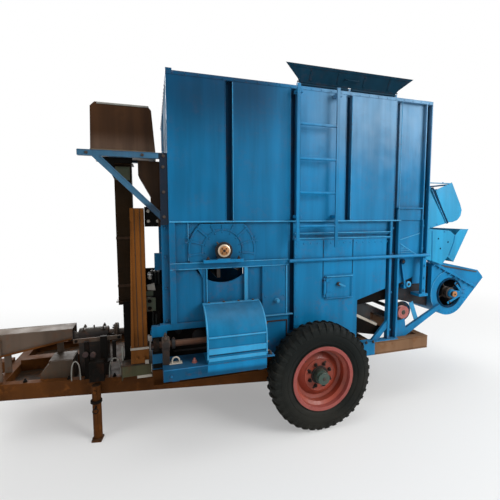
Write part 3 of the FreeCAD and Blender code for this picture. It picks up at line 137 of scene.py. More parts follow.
class Finish(Nodes):
    """One material: a Principled shader and the patterns that feed it, all in the part's own coordinates."""

    def __init__(self, name):
        self.material = bpy.data.materials.new(name)
        self.material.use_nodes = True
        super().__init__(self.material.node_tree)
        self.shader = self.tree.nodes["Principled BSDF"]
        coordinates = self.add("TexCoord", {}).outputs
        self.place = coordinates["Object"]
        self.x, self.y, self.z = self.add("SeparateXYZ", {0: self.place}).outputs
        self.upward = self.add("SeparateXYZ", {0: coordinates["Normal"]}).outputs[2]

    def noise(self, scale, detail, stretch=(1, 1, 1), offset=0.0):
        """Cloudy noise between 0 and 1, stretched along the part's axes."""
        spot = self.add("Mapping", {"Scale": stretch, "Location": (offset, offset * 0.7, offset * 1.3),
                                    "Vector": self.place}).outputs[0]
        return self.add("TexNoise", {"Scale": scale, "Detail": detail, "Roughness": 0.6,
                                     "Vector": spot}).outputs["Fac"]

    def ramp(self, value, low, high, start=0.0, end=1.0):
        """Maps value between low and high to start and end, smoothly, and holds it beyond them."""
        sockets = dict(enumerate((value, low, high, start, end)))
        return self.add("MapRange", sockets, interpolation_type="SMOOTHSTEP").outputs[0]

    def mix(self, share, under, over):
        """Colour over laid on colour under, as thick as share."""
        return self.add("Mix", {0: share, 6: under, 7: over}, data_type="RGBA").outputs[2]

    def shade(self, colour, factor):
        """A colour made darker or lighter by a varying factor."""
        return self.add("Mix", {0: 1, 6: colour, 7: factor}, data_type="RGBA", blend_type="MULTIPLY").outputs[2]

    def corners(self, reach):
        """1 in tight corners and seams, 0 in the open."""
        return self.ramp(self.add("AmbientOcclusion", {"Distance": reach}, samples=3).outputs["AO"], 0.85, 0.35)

    def edges(self, radius):
        """1 along outside and inside edges, 0 on flat faces."""
        rounded = self.add("Bevel", {"Radius": radius}, samples=3).outputs[0]
        flat = self.add("NewGeometry", {}).outputs["Normal"]
        alike = self.add("VectorMath", {0: rounded, 1: flat}, operation="DOT_PRODUCT").outputs["Value"]
        return self.ramp(alike, 0.99, 0.85)

    def bump(self, height, depth):
        """Dents and ripples of a height pattern, so deep in metres."""
        bump = self.add("Bump", {"Strength": 0.5, "Distance": depth, "Height": height})
        self.feed(self.shader.inputs["Normal"], bump.outputs[0])


RUST = (0.120, 0.038, 0.012)
DUST = (0.250, 0.205, 0.150)
# Near-black for grime, and painted shade, in corners and seams.
GRIME_AND_SHADE = (0.012, 0.010, 0.008)


def coated(name, colour, rough=0.42, metal=0.0, gloss=0.3, tone=0.16, streak=0.10, rust=0.35, dust=0.2,
           wear=0.4, waves=0.004, under=RUST, patch=None, patch_where=None, painted_light=None, painted_light_where=None):
    """Painted or bare steel: uneven tone, runs down the sheet, grime and painted shade in corners, rust at worn
    edges, dust.
    """
    f = Finish(name)
    s = f.shader.inputs
    s["Specular IOR Level"].default_value = gloss
    s["Metallic"].default_value = metal
    clouds = f.noise(1.3, 2.0)
    runs = f.noise(1.0, 3.0, (14.0, 14.0, 1.1), 3.1)
    specks = f.noise(34.0, 4.0, offset=1.7)
    base = colour
    # A patch of other colour where its mask says: real paint, stains or dust on some finishes, painted shade on
    # others, and a painted highlight on the frame's tail.
    if patch:
        base = f.mix(patch_where(f), base, patch)
    # A layer of painted light: a painted sheen on the upper blue, painted shade on the drawbar floor.
    if painted_light:
        base = f.mix(painted_light_where(f), base, painted_light)
    tones = f.ramp(clouds, 0.3, 0.7, 1 - tone, 1 + tone)
    base = f.shade(base, f.maths("ADD", tones, f.ramp(runs, 0.35, 0.65, -streak, streak)))
    # Occlusion finds corners and seams; the near-black laid there is grime, and painted shade where shade falls.
    corners = f.corners(0.05)
    blotches = f.ramp(f.noise(7.0, 4.0, offset=5.3), 0.45, 0.72)
    base = f.mix(f.maths("MULTIPLY", corners, f.ramp(blotches, 0, 1, 0.27, 0.6)), base, GRIME_AND_SHADE)
    if rust:
        stain = f.maths("MULTIPLY", blotches, f.ramp(specks, 0.42, 0.62))
        stain = f.maths("MULTIPLY", stain, f.ramp(f.z, 1.5, 0.4, 0.25, 1.0))
        base = f.mix(f.maths("MULTIPLY", stain, rust), base, under)
    if wear:
        worn = f.maths("MULTIPLY", f.edges(0.004), f.ramp(specks, 0.47, 0.58))
        base = f.mix(f.maths("MULTIPLY", worn, wear), base, under)
    settled = f.maths("MAXIMUM", f.ramp(f.upward, 0.35, 0.95), f.ramp(f.z, 0.75, 0.1, 0.0, 0.7))
    thick = f.maths("MULTIPLY", settled, f.ramp(f.noise(4.5, 5.0, offset=8.8), 0.3, 0.7, 0.25, 1.0))
    f.feed(s["Base Color"], f.mix(f.maths("MULTIPLY", thick, dust), base, DUST))
    f.feed(s["Roughness"], f.ramp(f.noise(11.0, 4.0, offset=2.2), 0.3, 0.7, rough - 0.07, rough + 0.13))
    height = f.maths("ADD", f.noise(2.3, 1.0, offset=9.0), f.maths("MULTIPLY", f.noise(140.0, 2.0), 0.03))
    f.bump(height, waves)
    return f.material


# ---------------------------------------------------------------- pieces
def across(direction):
    """Two unit vectors square to a direction and to each other."""
    direction = Vector(direction).normalized()
    first = direction.cross(UP if abs(direction.z) < 0.9 else AHEAD).normalized()
    return first, direction.cross(first)


def circle(centre, u, v, radius, sides):
    """Points evenly round a circle in the plane of two vectors."""
    return [centre + (u * cos(a) + v * sin(a)) * radius for a in around(sides)]


class Piece:
    """A mesh gathered from closed solids, each of them tagged with the number of its finish."""

    def __init__(self):
        self.points, self.faces, self.tags = [], [], []

    def add(self, points, faces, tag=0):
        """Adds a closed solid, given as points and the faces between them."""
        start = len(self.points)
        self.points += [tuple(p) for p in points]
        self.faces += [tuple(start + i for i in face) for face in faces]
        self.tags += [tag] * len(faces)

    def loft(self, rings, tag, closed=False, inside_out=False):
        """Skins a run of rings of points: capped at both ends, or joined back to the first ring."""
        sides, count = len(rings[0]), len(rings)
        faces = []
        for k in range(count if closed else count - 1):
            low, high = k * sides, (k + 1) % count * sides
            for i in range(sides):
                j = (i + 1) % sides
                faces.append((low + i, low + j, high + j, high + i))
        if not closed:
            faces += [tuple(range(sides))[::-1], tuple(range((count - 1) * sides, count * sides))]
        if inside_out:
            faces = [face[::-1] for face in faces]
        self.add([p for ring in rings for p in ring], faces, tag)

    def box(self, low, high, tag=0, chamfer=0.0015):
        """A block between two corners, chamfered round its two broadest faces."""
        low, high = Vector(low), Vector(high)
        size = high - low
        thin = min(range(3), key=lambda k: size[k])
        u, v = [k for k in range(3) if k != thin]
        outline = []
        for first, second in ((0, 0), (1, 0), (1, 1), (0, 1)):
            corner = low.copy()
            corner[u] += size[u] * first
            corner[v] += size[v] * second
            outline.append(corner)
        push = Vector()
        push[thin] = size[thin]
        self.slab(outline, push, tag, chamfer)

    def slab(self, outline, push, tag=0, chamfer=0.0015):
        """A flat outline of points in space, given thickness by the vector push, with chamfered rims."""
        push = Vector(push)
        outline = [Vector(p) for p in outline]
        count = len(outline)
        turning = sum(((outline[i] - outline[0]).cross(outline[i + 1] - outline[0])
                       for i in range(1, count - 1)), Vector())
        if turning.dot(push) < 0:
            outline = outline[::-1]
        up = push.normalized()
        inward = [up.cross((outline[(i + 1) % count] - p).normalized()) for i, p in enumerate(outline)]
        chamfer = min(chamfer, 0.3 * push.length)
        inner = [p + (inward[i - 1] + inward[i]) / (1.05 + inward[i - 1].dot(inward[i])) * chamfer
                 for i, p in enumerate(outline)]
        rim = up * chamfer
        self.loft([inner, [p + rim for p in outline], [p + push - rim for p in outline],
                   [p + push for p in inner]], tag)

    def bar(self, start, end, width, thickness, face, tag=0):
        """A flat bar between two points: thickness along the direction face, width across it."""
        start, end, face = Vector(start), Vector(end), Vector(face).normalized()
        side = (end - start).cross(face).normalized() * width / 2
        self.slab([start - side, end - side, end + side, start + side], face * thickness, tag)

    def strap(self, y, start, end, width, thickness, tag=0):
        """A flat bar in side view, between two (x, z) points on the plane at y."""
        self.bar((start[0], y, start[1]), (end[0], y, end[1]), width, thickness, LEFT, tag)

    def plate(self, y, thickness, outline, tag=0):
        """A plate in side view: an outline of (x, z) points on the plane at y."""
        self.slab([(x, y, z) for x, z in outline], LEFT * thickness, tag)

    def turned(self, centre, axis, profile, sides, tag=0, hoop=False):
        """A profile of (distance along the axis, radius) pairs turned round it. A hoop's profile is closed."""
        axis, centre = Vector(axis).normalized(), Vector(centre)
        u, v = across(axis)
        if hoop:
            doubled_area = sum(a * r2 - a2 * r for (a, r), (a2, r2) in zip(profile, profile[1:] + profile[:1]))
            backward = doubled_area >= 0
        else:
            backward = profile[-1][0] < profile[0][0]
        self.loft([circle(centre + axis * along, u, v, radius, sides) for along, radius in profile], tag, hoop,
                  backward)

    def rod(self, start, end, radius, sides, tag=0):
        """A round bar with chamfered ends."""
        start, end = Vector(start), Vector(end)
        length = (end - start).length
        rim = min(0.2 * radius, 0.15 * length, 0.003)
        profile = [(0, radius - rim), (rim, radius), (length - rim, radius), (length, radius - rim)]
        self.turned(start, end - start, profile, sides, tag)

    def tube(self, path, radii, sides, tag=0, ring=False):
        """A round bar bent along a path of points, of one radius or one for each point."""
        path = [Vector(p) for p in path]
        count = len(path)
        if isinstance(radii, float):
            radii = [radii] * count
        rings, u = [], None
        for k, point in enumerate(path):
            before = path[k - 1] if ring or k else point
            after = path[(k + 1) % count] if ring or k < count - 1 else point
            along = (after - before).normalized()
            u = across(along)[0] if u is None else (u - along * u.dot(along)).normalized()
            rings.append(circle(point, u, along.cross(u), radii[k], sides))
        self.loft(rings, tag, ring)

    def bolt(self, at, normal, across_flats, tag=0, washer=True, stud=False):
        """A hexagon head or nut on its washer, with a chamfered top."""
        r = across_flats / sqrt(3)
        if washer:
            self.turned(at, normal, [(-0.002, r * 1.2), (0.002, r * 1.2), (0.0025, r * 1.12)], 16, tag)
        self.turned(at, normal, [(0, r), (0.5 * r, r), (0.9 * r, r), (1.08 * r, 0.86 * r)], 6, tag)
        if stud:
            self.turned(at, normal, [(r, r * 0.5), (1.75 * r, r * 0.5), (1.9 * r, r * 0.4)], 10, tag)

    def dome(self, at, normal, radius, tag=0):
        """A rivet head."""
        self.turned(at, normal, [(-0.001, radius), (0.25 * radius, 0.95 * radius), (0.5 * radius, 0.7 * radius),
                                 (0.62 * radius, 0.25 * radius)], 10, tag)

    def domes(self, start, end, count, normal, radius):
        """A row of rivets."""
        for at in spaced(Vector(start), Vector(end), count):
            self.dome(at, normal, radius)

    def bead(self, start, end, radius):
        """A rippled weld bead along a line."""
        start, end = Vector(start), Vector(end)
        count = max(4, int((end - start).length / 0.008)) + 1
        self.tube(spaced(start, end, count), [radius * (1.0 if k % 2 else 0.72) for k in range(count)], 6)

    def mirrored(self):
        """Adds the same solids on the other side of the machine's middle plane."""
        start = len(self.points)
        self.points += [(x, -y, z) for x, y, z in self.points]
        self.faces += [tuple(start + i for i in face[::-1]) for face in self.faces]
        self.tags += self.tags

    def place(self, name, body, slot, *finishes, stands_for=()):
        """Makes the object and rides it on its body; the slot argument is not used."""
        mesh = bpy.data.meshes.new(name)
        mesh.from_pydata(self.points, [], self.faces)
        mesh.polygons.foreach_set("material_index", self.tags)
        mesh.polygons.foreach_set("use_smooth", [True] * len(self.faces))
        for finish in finishes:
            mesh.materials.append(FINISHES[finish])
        mesh.set_sharp_from_angle(angle=radians(38))
        obj = bpy.data.objects.new(name, mesh)
        SCENE.collection.objects.link(obj)
        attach(obj, body)
        if stands_for:
            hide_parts(*stands_for)


def soften(obj, width):
    """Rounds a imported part's sharp edges and evens the shading of its flat faces."""
    obj.modifiers.new("weld", "WELD").merge_threshold = 0.00002
    bevel = obj.modifiers.new("bevel", "BEVEL")
    bevel.width = width
    bevel.segments = 2
    bevel.limit_method = "ANGLE"
    bevel.angle_limit = radians(40)
    bevel.use_clamp_overlap = False
    obj.modifiers.new("shading", "WEIGHTED_NORMAL").keep_sharp = True


# ---------------------------------------------------------------- the finishes used
BLUE = (0.004, 0.160, 0.345)
# The front wall's blue, painted darker as its shade.
SHADED_FRONT_BLUE = (0.002, 0.080, 0.170)
# Painted shade on the blue along the front eaves.
SHADED_EAVES_BLUE = (0.001, 0.045, 0.105)
# A pale painted sheen on the upper sheets near the tail.
SHEEN_BLUE = (0.170, 0.300, 0.430)


def shaded_front_eaves(f):
    """Painted shade: 1 along the eaves over the drawbar, fading downwards and past the drum."""
    return f.maths("MULTIPLY", f.ramp(f.x, -0.44, -0.12), f.ramp(f.z, 1.80, 2.25, 0.42, 1.0))


def painted_sheen_near_tail(f):
    """1 where the upper sheets nearest the tail carry a painted sheen, 0 below and ahead of them."""
    return f.maths("MULTIPLY", f.ramp(f.x, -0.25, -0.80, 0.0, 0.62), f.ramp(f.z, 1.68, 2.20))


def shaded_ahead_of_guard(f):
    """Painted shade: 1 on the platform ahead of the belt guard and along its lower edge."""
    return f.maths("MAXIMUM", f.ramp(f.x, 0.256, 0.262), f.ramp(f.z, 0.545, 0.512))


def wheel_disc(f):
    """1 on the disc and the well of the rim, 0 out on its flanges."""
    return f.ramp(f.maths("ABSOLUTE", f.y), 0.838, 0.826)


def box_foot(f):
    """1 along the foot of the grain box, where dust has gathered."""
    return f.ramp(f.z, 1.985, 1.865, 0.0, 0.75)


def in_recess(f):
    """1 low on the bearing bases, where the frame's paint has run onto them."""
    return f.ramp(f.z, 1.186, 1.182)


def tail_rails(f):
    """1 on the weathered tail of the frame, behind the wheels, and, as a painted highlight, on the frame's upward
    faces from a little further forward.
    """
    lit = f.maths("MULTIPLY", f.ramp(f.x, -0.60, -0.70), f.ramp(f.upward, 0.5, 0.9))
    return f.maths("MAXIMUM", f.ramp(f.x, -0.92, -1.02), lit)


def shaded_drawbar_floor(f):
    """Painted shade: 1 on the floor sheet between the drawbar's beams."""
    sunk = f.maths("MULTIPLY", f.ramp(f.z, 0.389, 0.384), f.ramp(f.x, 0.70, 0.80))
    return f.maths("MULTIPLY", sunk, f.ramp(f.upward, 0.5, 0.9, 0.0, 0.85))


def shaded_deck_top(f):
    """Painted shade: 1 on the top of the front deck's cover."""
    return f.ramp(f.z, 0.486, 0.489)


def shaded_suction_duct(f):
    """Painted shade: 1 on the suction duct, behind the sieve box."""
    return f.ramp(f.x, -1.255, -1.262)


def forward_bearings(f):
    """1 on the bearings ahead of the body."""
    return f.ramp(f.x, 0.42, 0.44)


def mount_strip(f):
    """1 on the strip bolted to the body and on the lower end of the strut."""
    return f.maths("MAXIMUM", f.ramp(f.x, 0.512, 0.506), f.ramp(f.z, 1.545, 1.510, 0.0, 0.8))


BOX_STEEL = dict(metal=0.2, gloss=0.12, tone=0.35, streak=0.2, rust=0.6, under=(0.080, 0.032, 0.010), dust=0.06)
BLACK_IRON = dict(colour=(0.010, 0.010, 0.011), rough=0.45, gloss=0.15, dust=0.05, rust=0.2)
FINISHES = {
    # The main blue, with painted shade along the front eaves and a painted sheen high near the tail.
    "blue": coated("blue_enamel", BLUE, gloss=0.13, dust=0.12, patch=SHADED_EAVES_BLUE, patch_where=shaded_front_eaves,
                   painted_light=SHEEN_BLUE, painted_light_where=painted_sheen_near_tail),
    "guard_blue": coated("guard_blue", (0.003, 0.128, 0.265), gloss=0.12, rust=0.15, dust=0.12),
    # The platform's blue, with painted shade ahead of the belt guard and along its lower edge.
    "apron_blue": coated("apron_blue", BLUE, gloss=0.10, rust=0.15, dust=0.06, patch=(0.001, 0.054, 0.120),
                         patch_where=shaded_ahead_of_guard),
    # A matte, darker copy of the blue: painted shade on the front wall, and on the end walls' ribs and rivets.
    "shaded_front_blue": coated("front_blue_enamel", SHADED_FRONT_BLUE, rough=0.7, gloss=0.02, dust=0.05),
    "bright_blue": coated("bright_blue_enamel", (0.007, 0.220, 0.405), gloss=0.25, dust=0.12, rust=0.2),
    "bearing_blue": coated("bearing_blue", BLUE, gloss=0.14, rust=0.5,
                           patch=(0.016, 0.013, 0.012), patch_where=forward_bearings),
    "shelf_blue": coated("shelf_blue", (0.042, 0.122, 0.205), gloss=0.12, patch=(0.006, 0.012, 0.022),
                         patch_where=mount_strip),
    # The feed flap's blue, painted near black as its shade.
    "shaded_flap_blue": coated("shaded_flap_blue", (0.001, 0.022, 0.042), gloss=0.06, dust=0.03),
    # Primer brown: lighter on the weathered tail, with a painted highlight on its upward faces, and painted shade on
    # the drawbar floor.
    "brown": coated("chassis_primer", (0.064, 0.021, 0.004), rough=0.62, gloss=0.06, tone=0.3, rust=0.8,
                    under=(0.140, 0.045, 0.008), dust=0.015, patch=(0.180, 0.100, 0.055), patch_where=tail_rails,
                    painted_light=(0.013, 0.011, 0.008), painted_light_where=shaded_drawbar_floor),
    "post": coated("post_primer", (0.185, 0.062, 0.009), rough=0.58, gloss=0.1, tone=0.2, rust=0.6,
                   under=(0.085, 0.036, 0.014)),
    "tan": coated("tan_enamel", (0.055, 0.038, 0.026), rough=0.55, gloss=0.1, tone=0.25, rust=0.4, dust=0.08),
    # Deck plate, with painted shade on the top of its cover.
    "plate": coated("deck_plate", (0.045, 0.040, 0.024), rough=0.6, gloss=0.1, tone=0.3, rust=0.5, dust=0.15,
                    patch=(0.016, 0.013, 0.011), patch_where=shaded_deck_top),
    "box_steel": coated("dark_box_steel", (0.030, 0.014, 0.006), **BOX_STEEL),
    "grain_steel": coated("grain_box_steel", (0.034, 0.014, 0.005), **BOX_STEEL,
                          patch=(0.120, 0.074, 0.050), patch_where=box_foot),
    "duct_steel": coated("duct_steel", (0.014, 0.007, 0.002), rough=0.5, gloss=0.06, tone=0.3, rust=0.5,
                         under=(0.050, 0.020, 0.006), dust=0.03),
    "guard_steel": coated("guard_steel", (0.080, 0.056, 0.041), rough=0.52, metal=0.1, gloss=0.1, tone=0.25,
                          rust=0.6),
    "black": coated("black_iron", **BLACK_IRON),
    "bearing_black": coated("bearing_black", **BLACK_IRON, patch=BLUE, patch_where=in_recess),
    # Near-black blue: painted shade in the panels' grooves and in gaps between parts, also used on some dark
    # flanges, eyes and rivets.
    "groove": coated("groove_blue", (0.001, 0.026, 0.062), gloss=0.03, dust=0.02, wear=0.1),
    "dark_blue": coated("shaded_blue_enamel", (0.001, 0.050, 0.110), gloss=0.06, dust=0.04),
    "steel": coated("oiled_steel", (0.055, 0.046, 0.040), rough=0.45, metal=0.6, rust=0.5, dust=0.1),
    "bright": coated("bright_steel", (0.480, 0.380, 0.280), rough=0.34, metal=0.9, gloss=0.5, rust=0.3, dust=0.1),
    "ochre": coated("ochre_steel", (0.330, 0.150, 0.055), rough=0.5, metal=0.3, rust=0.4, dust=0.1),
    # Bare tray steel, with painted shade on the suction duct.
    "tray": coated("tray_steel", (0.022, 0.025, 0.027), rough=0.5, metal=0.3, tone=0.3, rust=0.4, dust=0.15,
                   patch=(0.008, 0.010, 0.013), patch_where=shaded_suction_duct),
    "rim": coated("rim_enamel", (0.250, 0.048, 0.040), rough=0.36, gloss=0.35, tone=0.25,
                  under=(0.060, 0.020, 0.014), dust=0.12, patch=(0.250, 0.034, 0.016), patch_where=wheel_disc),
    "hub": coated("hub_enamel", (0.022, 0.052, 0.042), rough=0.4, gloss=0.4, rust=0.4, dust=0.15),
    "pulley_red": coated("pulley_enamel", (0.300, 0.090, 0.080), rough=0.4, gloss=0.4),
    "rubber": coated("rubber", (0.0055, 0.0072, 0.0068), rough=0.6, gloss=0.09, tone=0.2, streak=0, rust=0,
                     wear=0, dust=0.07, waves=0.001),
    "belt": coated("belt_rubber", (0.018, 0.020, 0.018), rough=0.7, gloss=0.25, streak=0, rust=0, wear=0,
                   dust=0.4),
    # Lighter blue on hems, ledges, folds and edges: worn paint, and a painted highlight where they catch the light.
    "light_blue": coated("worn_and_highlit_blue_edge", (0.020, 0.250, 0.470), rust=0.15, dust=0.15, wear=0.6),
    "oily": coated("oily_black", (0.004, 0.0035, 0.003), rough=0.55, gloss=0.04, streak=0, rust=0.3, wear=0,
                   under=(0.040, 0.014, 0.006), dust=0.01),
    "pale": coated("pale_steel", (0.420, 0.380, 0.320), rough=0.5, rust=0.4, dust=0.1),
    "band": coated("band_steel", (0.110, 0.080, 0.048), rough=0.45, metal=0.3, rust=0.5, dust=0.1),
    "dull_edge": coated("dull_edge_steel", (0.200, 0.200, 0.180), rough=0.45, metal=0.5, rust=0.5, dust=0.1),
    "rust_edge": coated("rusted_edge", (0.042, 0.028, 0.028), rough=0.7, gloss=0.05, rust=0.7),
    "worn_shaft": coated("worn_shaft", (0.066, 0.032, 0.020), rough=0.5, metal=0.3, gloss=0.15, rust=0.5,
                         dust=0.1),
    "olive": coated("olive_enamel", (0.070, 0.068, 0.036), rough=0.55, gloss=0.08, rust=0.4, dust=0.1),
    "sage": coated("sage_enamel", (0.060, 0.075, 0.045), rough=0.5, rust=0.5, dust=0.3),
}

SLOT_FINISH = {
    "blue_paint": "blue", "chassis_brown": "brown", "rim_red": "rim", "hub_green": "hub", "tyre": "rubber",
    "tan_paint": "tan", "grey_plate": "plate", "brown_steel": "box_steel", "orange_brown": "post",
    "black_iron": "black", "dark_steel": "steel", "galvanised": "tray", "red_pulley": "pulley_red",
}
NODE_FINISH = {
    "shaft_bearings": "bearing_blue", "shelf_bracket": "shelf_blue", "feed_flap": "shaded_flap_blue",
    "pto_guard": "guard_steel", "drum_bearings": "bearing_black", "front_wall": "shaded_front_blue",
    "straw_hood": "bright_blue", "straw_chute": "bright_blue", "guard_platform": "apron_blue",
    "grain_box": "grain_steel", "pulley_guard": "guard_blue", "bagging_duct": "duct_steel",
}


def finish_packed_parts():
    """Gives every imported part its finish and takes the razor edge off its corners."""
    for node, obj in frame["nodes"].items():
        obj.data.materials.clear()
        obj.data.materials.append(FINISHES[NODE_FINISH.get(node) or SLOT_FINISH[SLOT_OF[node]]])
        soften(obj, 0.0012)


# ---------------------------------------------------------------- wheels
def add_wheel(side, sign):
    """Tyre with lugs and sidewall rings, and the studs, nuts, valve and welds on the rim and hub."""
    body = f"wheel_{side}"
    centre = middle(f"tyre_{side}")
    low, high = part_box(f"tyre_{side}")
    radius, half = (high.z - low.z) / 2, (high.y - low.y) / 2
    axis = LEFT * sign
    tyre = Piece()
    shell = [(-0.62, 0.205), (-0.72, 0.216), (-0.80, 0.236), (-0.84, 0.240), (-0.86, 0.246), (-0.97, 0.272),
             (-1.0, 0.296), (-0.985, 0.300), (-0.97, 0.318), (-0.90, 0.336), (-0.80, radius - 0.017),
             (-0.45, radius - 0.009), (0, radius - 0.007)]
    outline = shell + [(-a, r) for a, r in shell[-2::-1]]
    inner = [(0.52, 0.203), (0.60, 0.250), (0.70, 0.300), (0.0, 0.335), (-0.70, 0.300), (-0.60, 0.250),
             (-0.52, 0.203)]
    tyre.turned(centre, axis, [(a * half, r) for a, r in outline + inner], 96, hoop=True)
    for ring_radius, reach in ((0.226, 0.83), (0.262, 0.955), (0.308, 1.0)):
        for end in (-1, 1):
            at = end * half * (reach - 0.03)
            crest = at + end * 0.0025
            tyre.turned(centre, axis, [(at, ring_radius - 0.003), (crest, ring_radius - 0.0015),
                                       (crest, ring_radius + 0.0015), (at, ring_radius + 0.003)], 96, hoop=True)
    for end, offset in ((-1, 0.0), (1, 0.5)):
        for a in around(40, offset):
            ray, along = spoke(a), spoke(a + pi / 2)
            outer = axis * (end * half)
            lean = along * 0.016
            base = [(0.10, radius - 0.012, 0.008), (0.62, radius - 0.014, 0.010), (0.90, radius - 0.034, 0.012),
                    (0.975, radius - 0.060, 0.010)]
            crown = [(0.08, radius - 0.0005, 0.006), (0.66, radius - 0.0015, 0.008),
                     (0.925, radius - 0.018, 0.010), (0.99, radius - 0.058, 0.006)]
            points, faces = [], []
            for level in (base, crown):
                for reach, r, width in level:
                    mid = centre + outer * reach + ray * r - lean * (reach - 0.5)
                    points += [mid - along * width, mid + along * width]
            for i in range(3):
                b, c = 2 * i, 8 + 2 * i
                faces += [(b, b + 1, b + 3, b + 2), (c, c + 2, c + 3, c + 1),
                          (b, b + 2, c + 2, c), (b + 1, c + 1, c + 3, b + 3)]
            faces += [(0, 8, 9, 1), (6, 7, 15, 14)]
            if end * sign > 0:
                faces = [face[::-1] for face in faces]
            tyre.add(points, faces)
    tyre.place(f"tyre_tread_{side}", body, "tyre", "rubber", stands_for=[f"tyre_{side}"])

    fixings = Piece()
    face = Vector((centre.x, sign * 0.792, centre.z))
    for a in around(8, 0.5):
        fixings.bolt(face + spoke(a) * 0.079 + axis * 0.0018, axis, 0.019, tag=3, stud=True)
    fixings.turned(face - axis * 0.0012, axis,
                   [(0, 0.046), (0, 0.063), (0.007, 0.061), (0.009, 0.055), (0.009, 0.046)], 40, 3, hoop=True)
    for ring, proud in ((0.110, -0.0004), (0.222, 0.040)):
        weld = [(0, ring - 0.004), (0.003, ring - 0.0015), (0.003, ring + 0.0015), (0, ring + 0.004)]
        fixings.turned(face + axis * proud, axis, weld, 64, 1, hoop=True)
    low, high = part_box(f"wheel_hub_{side}")
    cap = Vector((face.x, sign * max(abs(low.y), abs(high.y)), face.z))
    fixings.turned(cap - axis * 0.006, axis,
                   [(0, 0.040), (0.002, 0.042), (0.004, 0.040), (0.0052, 0.030)], 28, 2)
    fixings.turned(cap - axis * 0.001, axis, [(0, 0.012), (0.003, 0.012), (0.0045, 0.008)], 6, 0)
    valve = face + (AHEAD + UP) * 0.124
    fixings.rod(face + (AHEAD + UP) * 0.118, valve + axis * 0.034, 0.004, 10)
    fixings.rod(valve + axis * 0.030, face + (AHEAD + UP) * 0.125 + axis * 0.040, 0.0055, 10, 3)
    for a in around(4, 0.3):
        fixings.turned(face + spoke(a) * 0.094, axis, [(0, 0.0085), (0.0012, 0.0085), (0.0016, 0.0075)], 14, 3)
    fixings.place(f"wheel_fixings_{side}", body, "rim_red", "steel", "rim", "hub", "black")


# ---------------------------------------------------------------- drum ends
def add_drum_covers():
    """Radial ribs and rings on the drum's half-round covers, both sides."""
    hub = middle("threshing_drum")
    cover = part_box("drum_covers")[1].y
    piece = Piece()
    centre = Vector((hub.x, cover, hub.z))
    guide, rim, foot, top = 0.132, 0.214, 1.182, 1.398
    for ring_radius, wide in ((guide, 0.010), (rim, 0.012)):
        path = [centre + spoke(a) * ring_radius for a in spaced(radians(-16), radians(196), 41)]
        path = [p for p in path if foot < p.z < top]
        for p, q in zip(path, path[1:]):
            if (p - q).length < 0.05:
                piece.bar(p, q, wide, 0.004, LEFT)
    for k in range(9):
        a = radians(-8 + 24.5 * k)
        ray = spoke(a)
        fork = centre + ray * min(rim, (top - hub.z) / max(ray.z, 0.01))
        piece.bar(centre + ray * guide, fork, 0.011, 0.005, LEFT)
        if k in (1, 7):
            for lean in (-0.55, 0.55):
                piece.bar(fork, fork + spoke(a + lean) * 0.035, 0.007, 0.004, LEFT)
        piece.dome(centre + ray * 0.116, LEFT, 0.006)
    piece.mirrored()
    piece.place("drum_cover_ribs", "chassis", "blue_paint", "blue")

    bearings = Piece()
    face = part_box("drum_bearings")[1].y
    at = Vector((hub.x, face, hub.z))
    bearings.turned(at - LEFT * 0.010, LEFT, [(0, 0.0355), (0, 0.056), (0.008, 0.056), (0.0105, 0.050),
                                            (0.0105, 0.0355)], 40, 0, hoop=True)
    for end in (-1, 1):
        bearings.bolt(Vector((hub.x + end * 0.100, face - 0.014, 1.178)), UP, 0.018, stud=True)
    bearings.turned(Vector((hub.x + 0.032, face - 0.022, hub.z + 0.040)), (0.6, 0, 0.8),
                    [(0, 0.006), (0.010, 0.006), (0.013, 0.004), (0.018, 0.004)], 8, 1)
    bearings.mirrored()
    bearings.place("drum_bearing_rings", "chassis", "black_iron", "black", "steel")

    ends = Piece()
    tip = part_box("threshing_drum")[1].y
    at = Vector((hub.x, tip, hub.z))
    ends.turned(at - LEFT * 0.004, LEFT,
                [(0, 0.030), (0, 0.0405), (0.004, 0.0405), (0.0065, 0.037), (0.0065, 0.030)], 40, 1, hoop=True)
    ends.turned(at - LEFT * 0.001, LEFT, [(0, 0.0296), (0.0032, 0.0296), (0.0048, 0.0275)], 36, 0)
    ends.turned(at + LEFT * 0.003, LEFT, [(0, 0.009), (0.0035, 0.0085), (0.0035, 0.004)], 14, 2)
    for a in around(4, 0.5):
        ends.turned(at + spoke(a) * 0.0185 + LEFT * 0.0035, LEFT,
                    [(0, 0.0045), (0.003, 0.0045), (0.004, 0.0035)], 6, 2)
    ends.mirrored()
    ends.place("drum_shaft_ends", "drum", "dark_steel", "ochre", "bright", "black")


# ---------------------------------------------------------------- shafts and pulleys
def grooved(width, radius, grooves):
    """Half of a belt pulley's section: (along, radius) pairs over its grooved rim."""
    pitch = width / grooves
    points = [(0, radius - 0.018), (0, radius)]
    for k in range(grooves):
        start = k * pitch
        points += [(start + 0.12 * pitch, radius), (start + 0.38 * pitch, radius - 0.013),
                   (start + 0.62 * pitch, radius - 0.013), (start + 0.88 * pitch, radius)]
    return points + [(width, radius), (width, radius - 0.018)]


def add_pulley(piece, at, axis, width, radius, grooves, bore, tag, holes=0, hub_tag=None):
    """A belt pulley whose face starts at a point: rim, web, hub, and discs on the web."""
    at, axis = Vector(at), Vector(axis).normalized()
    web = width * 0.5
    section = [(0, bore + 0.003), (0, bore + 0.016), (web - 0.010, bore + 0.019), (web - 0.006, bore + 0.024),
               (web - 0.006, radius - 0.022)] + grooved(width, radius, grooves) + [
               (web + 0.006, radius - 0.022), (web + 0.006, bore + 0.024), (web + 0.010, bore + 0.019),
               (width, bore + 0.016), (width, bore + 0.003)]
    piece.turned(at, axis, section, 48, tag, hoop=True)
    u, v = across(axis)
    for a in around(holes):
        spot = at + (u * cos(a) + v * sin(a)) * (bore + 0.024 + radius - 0.022) / 2
        for start in (web - 0.0075, web + 0.0045):
            piece.turned(spot + axis * start, axis, [(0, 0.010), (0.003, 0.010)], 16, hub_tag)


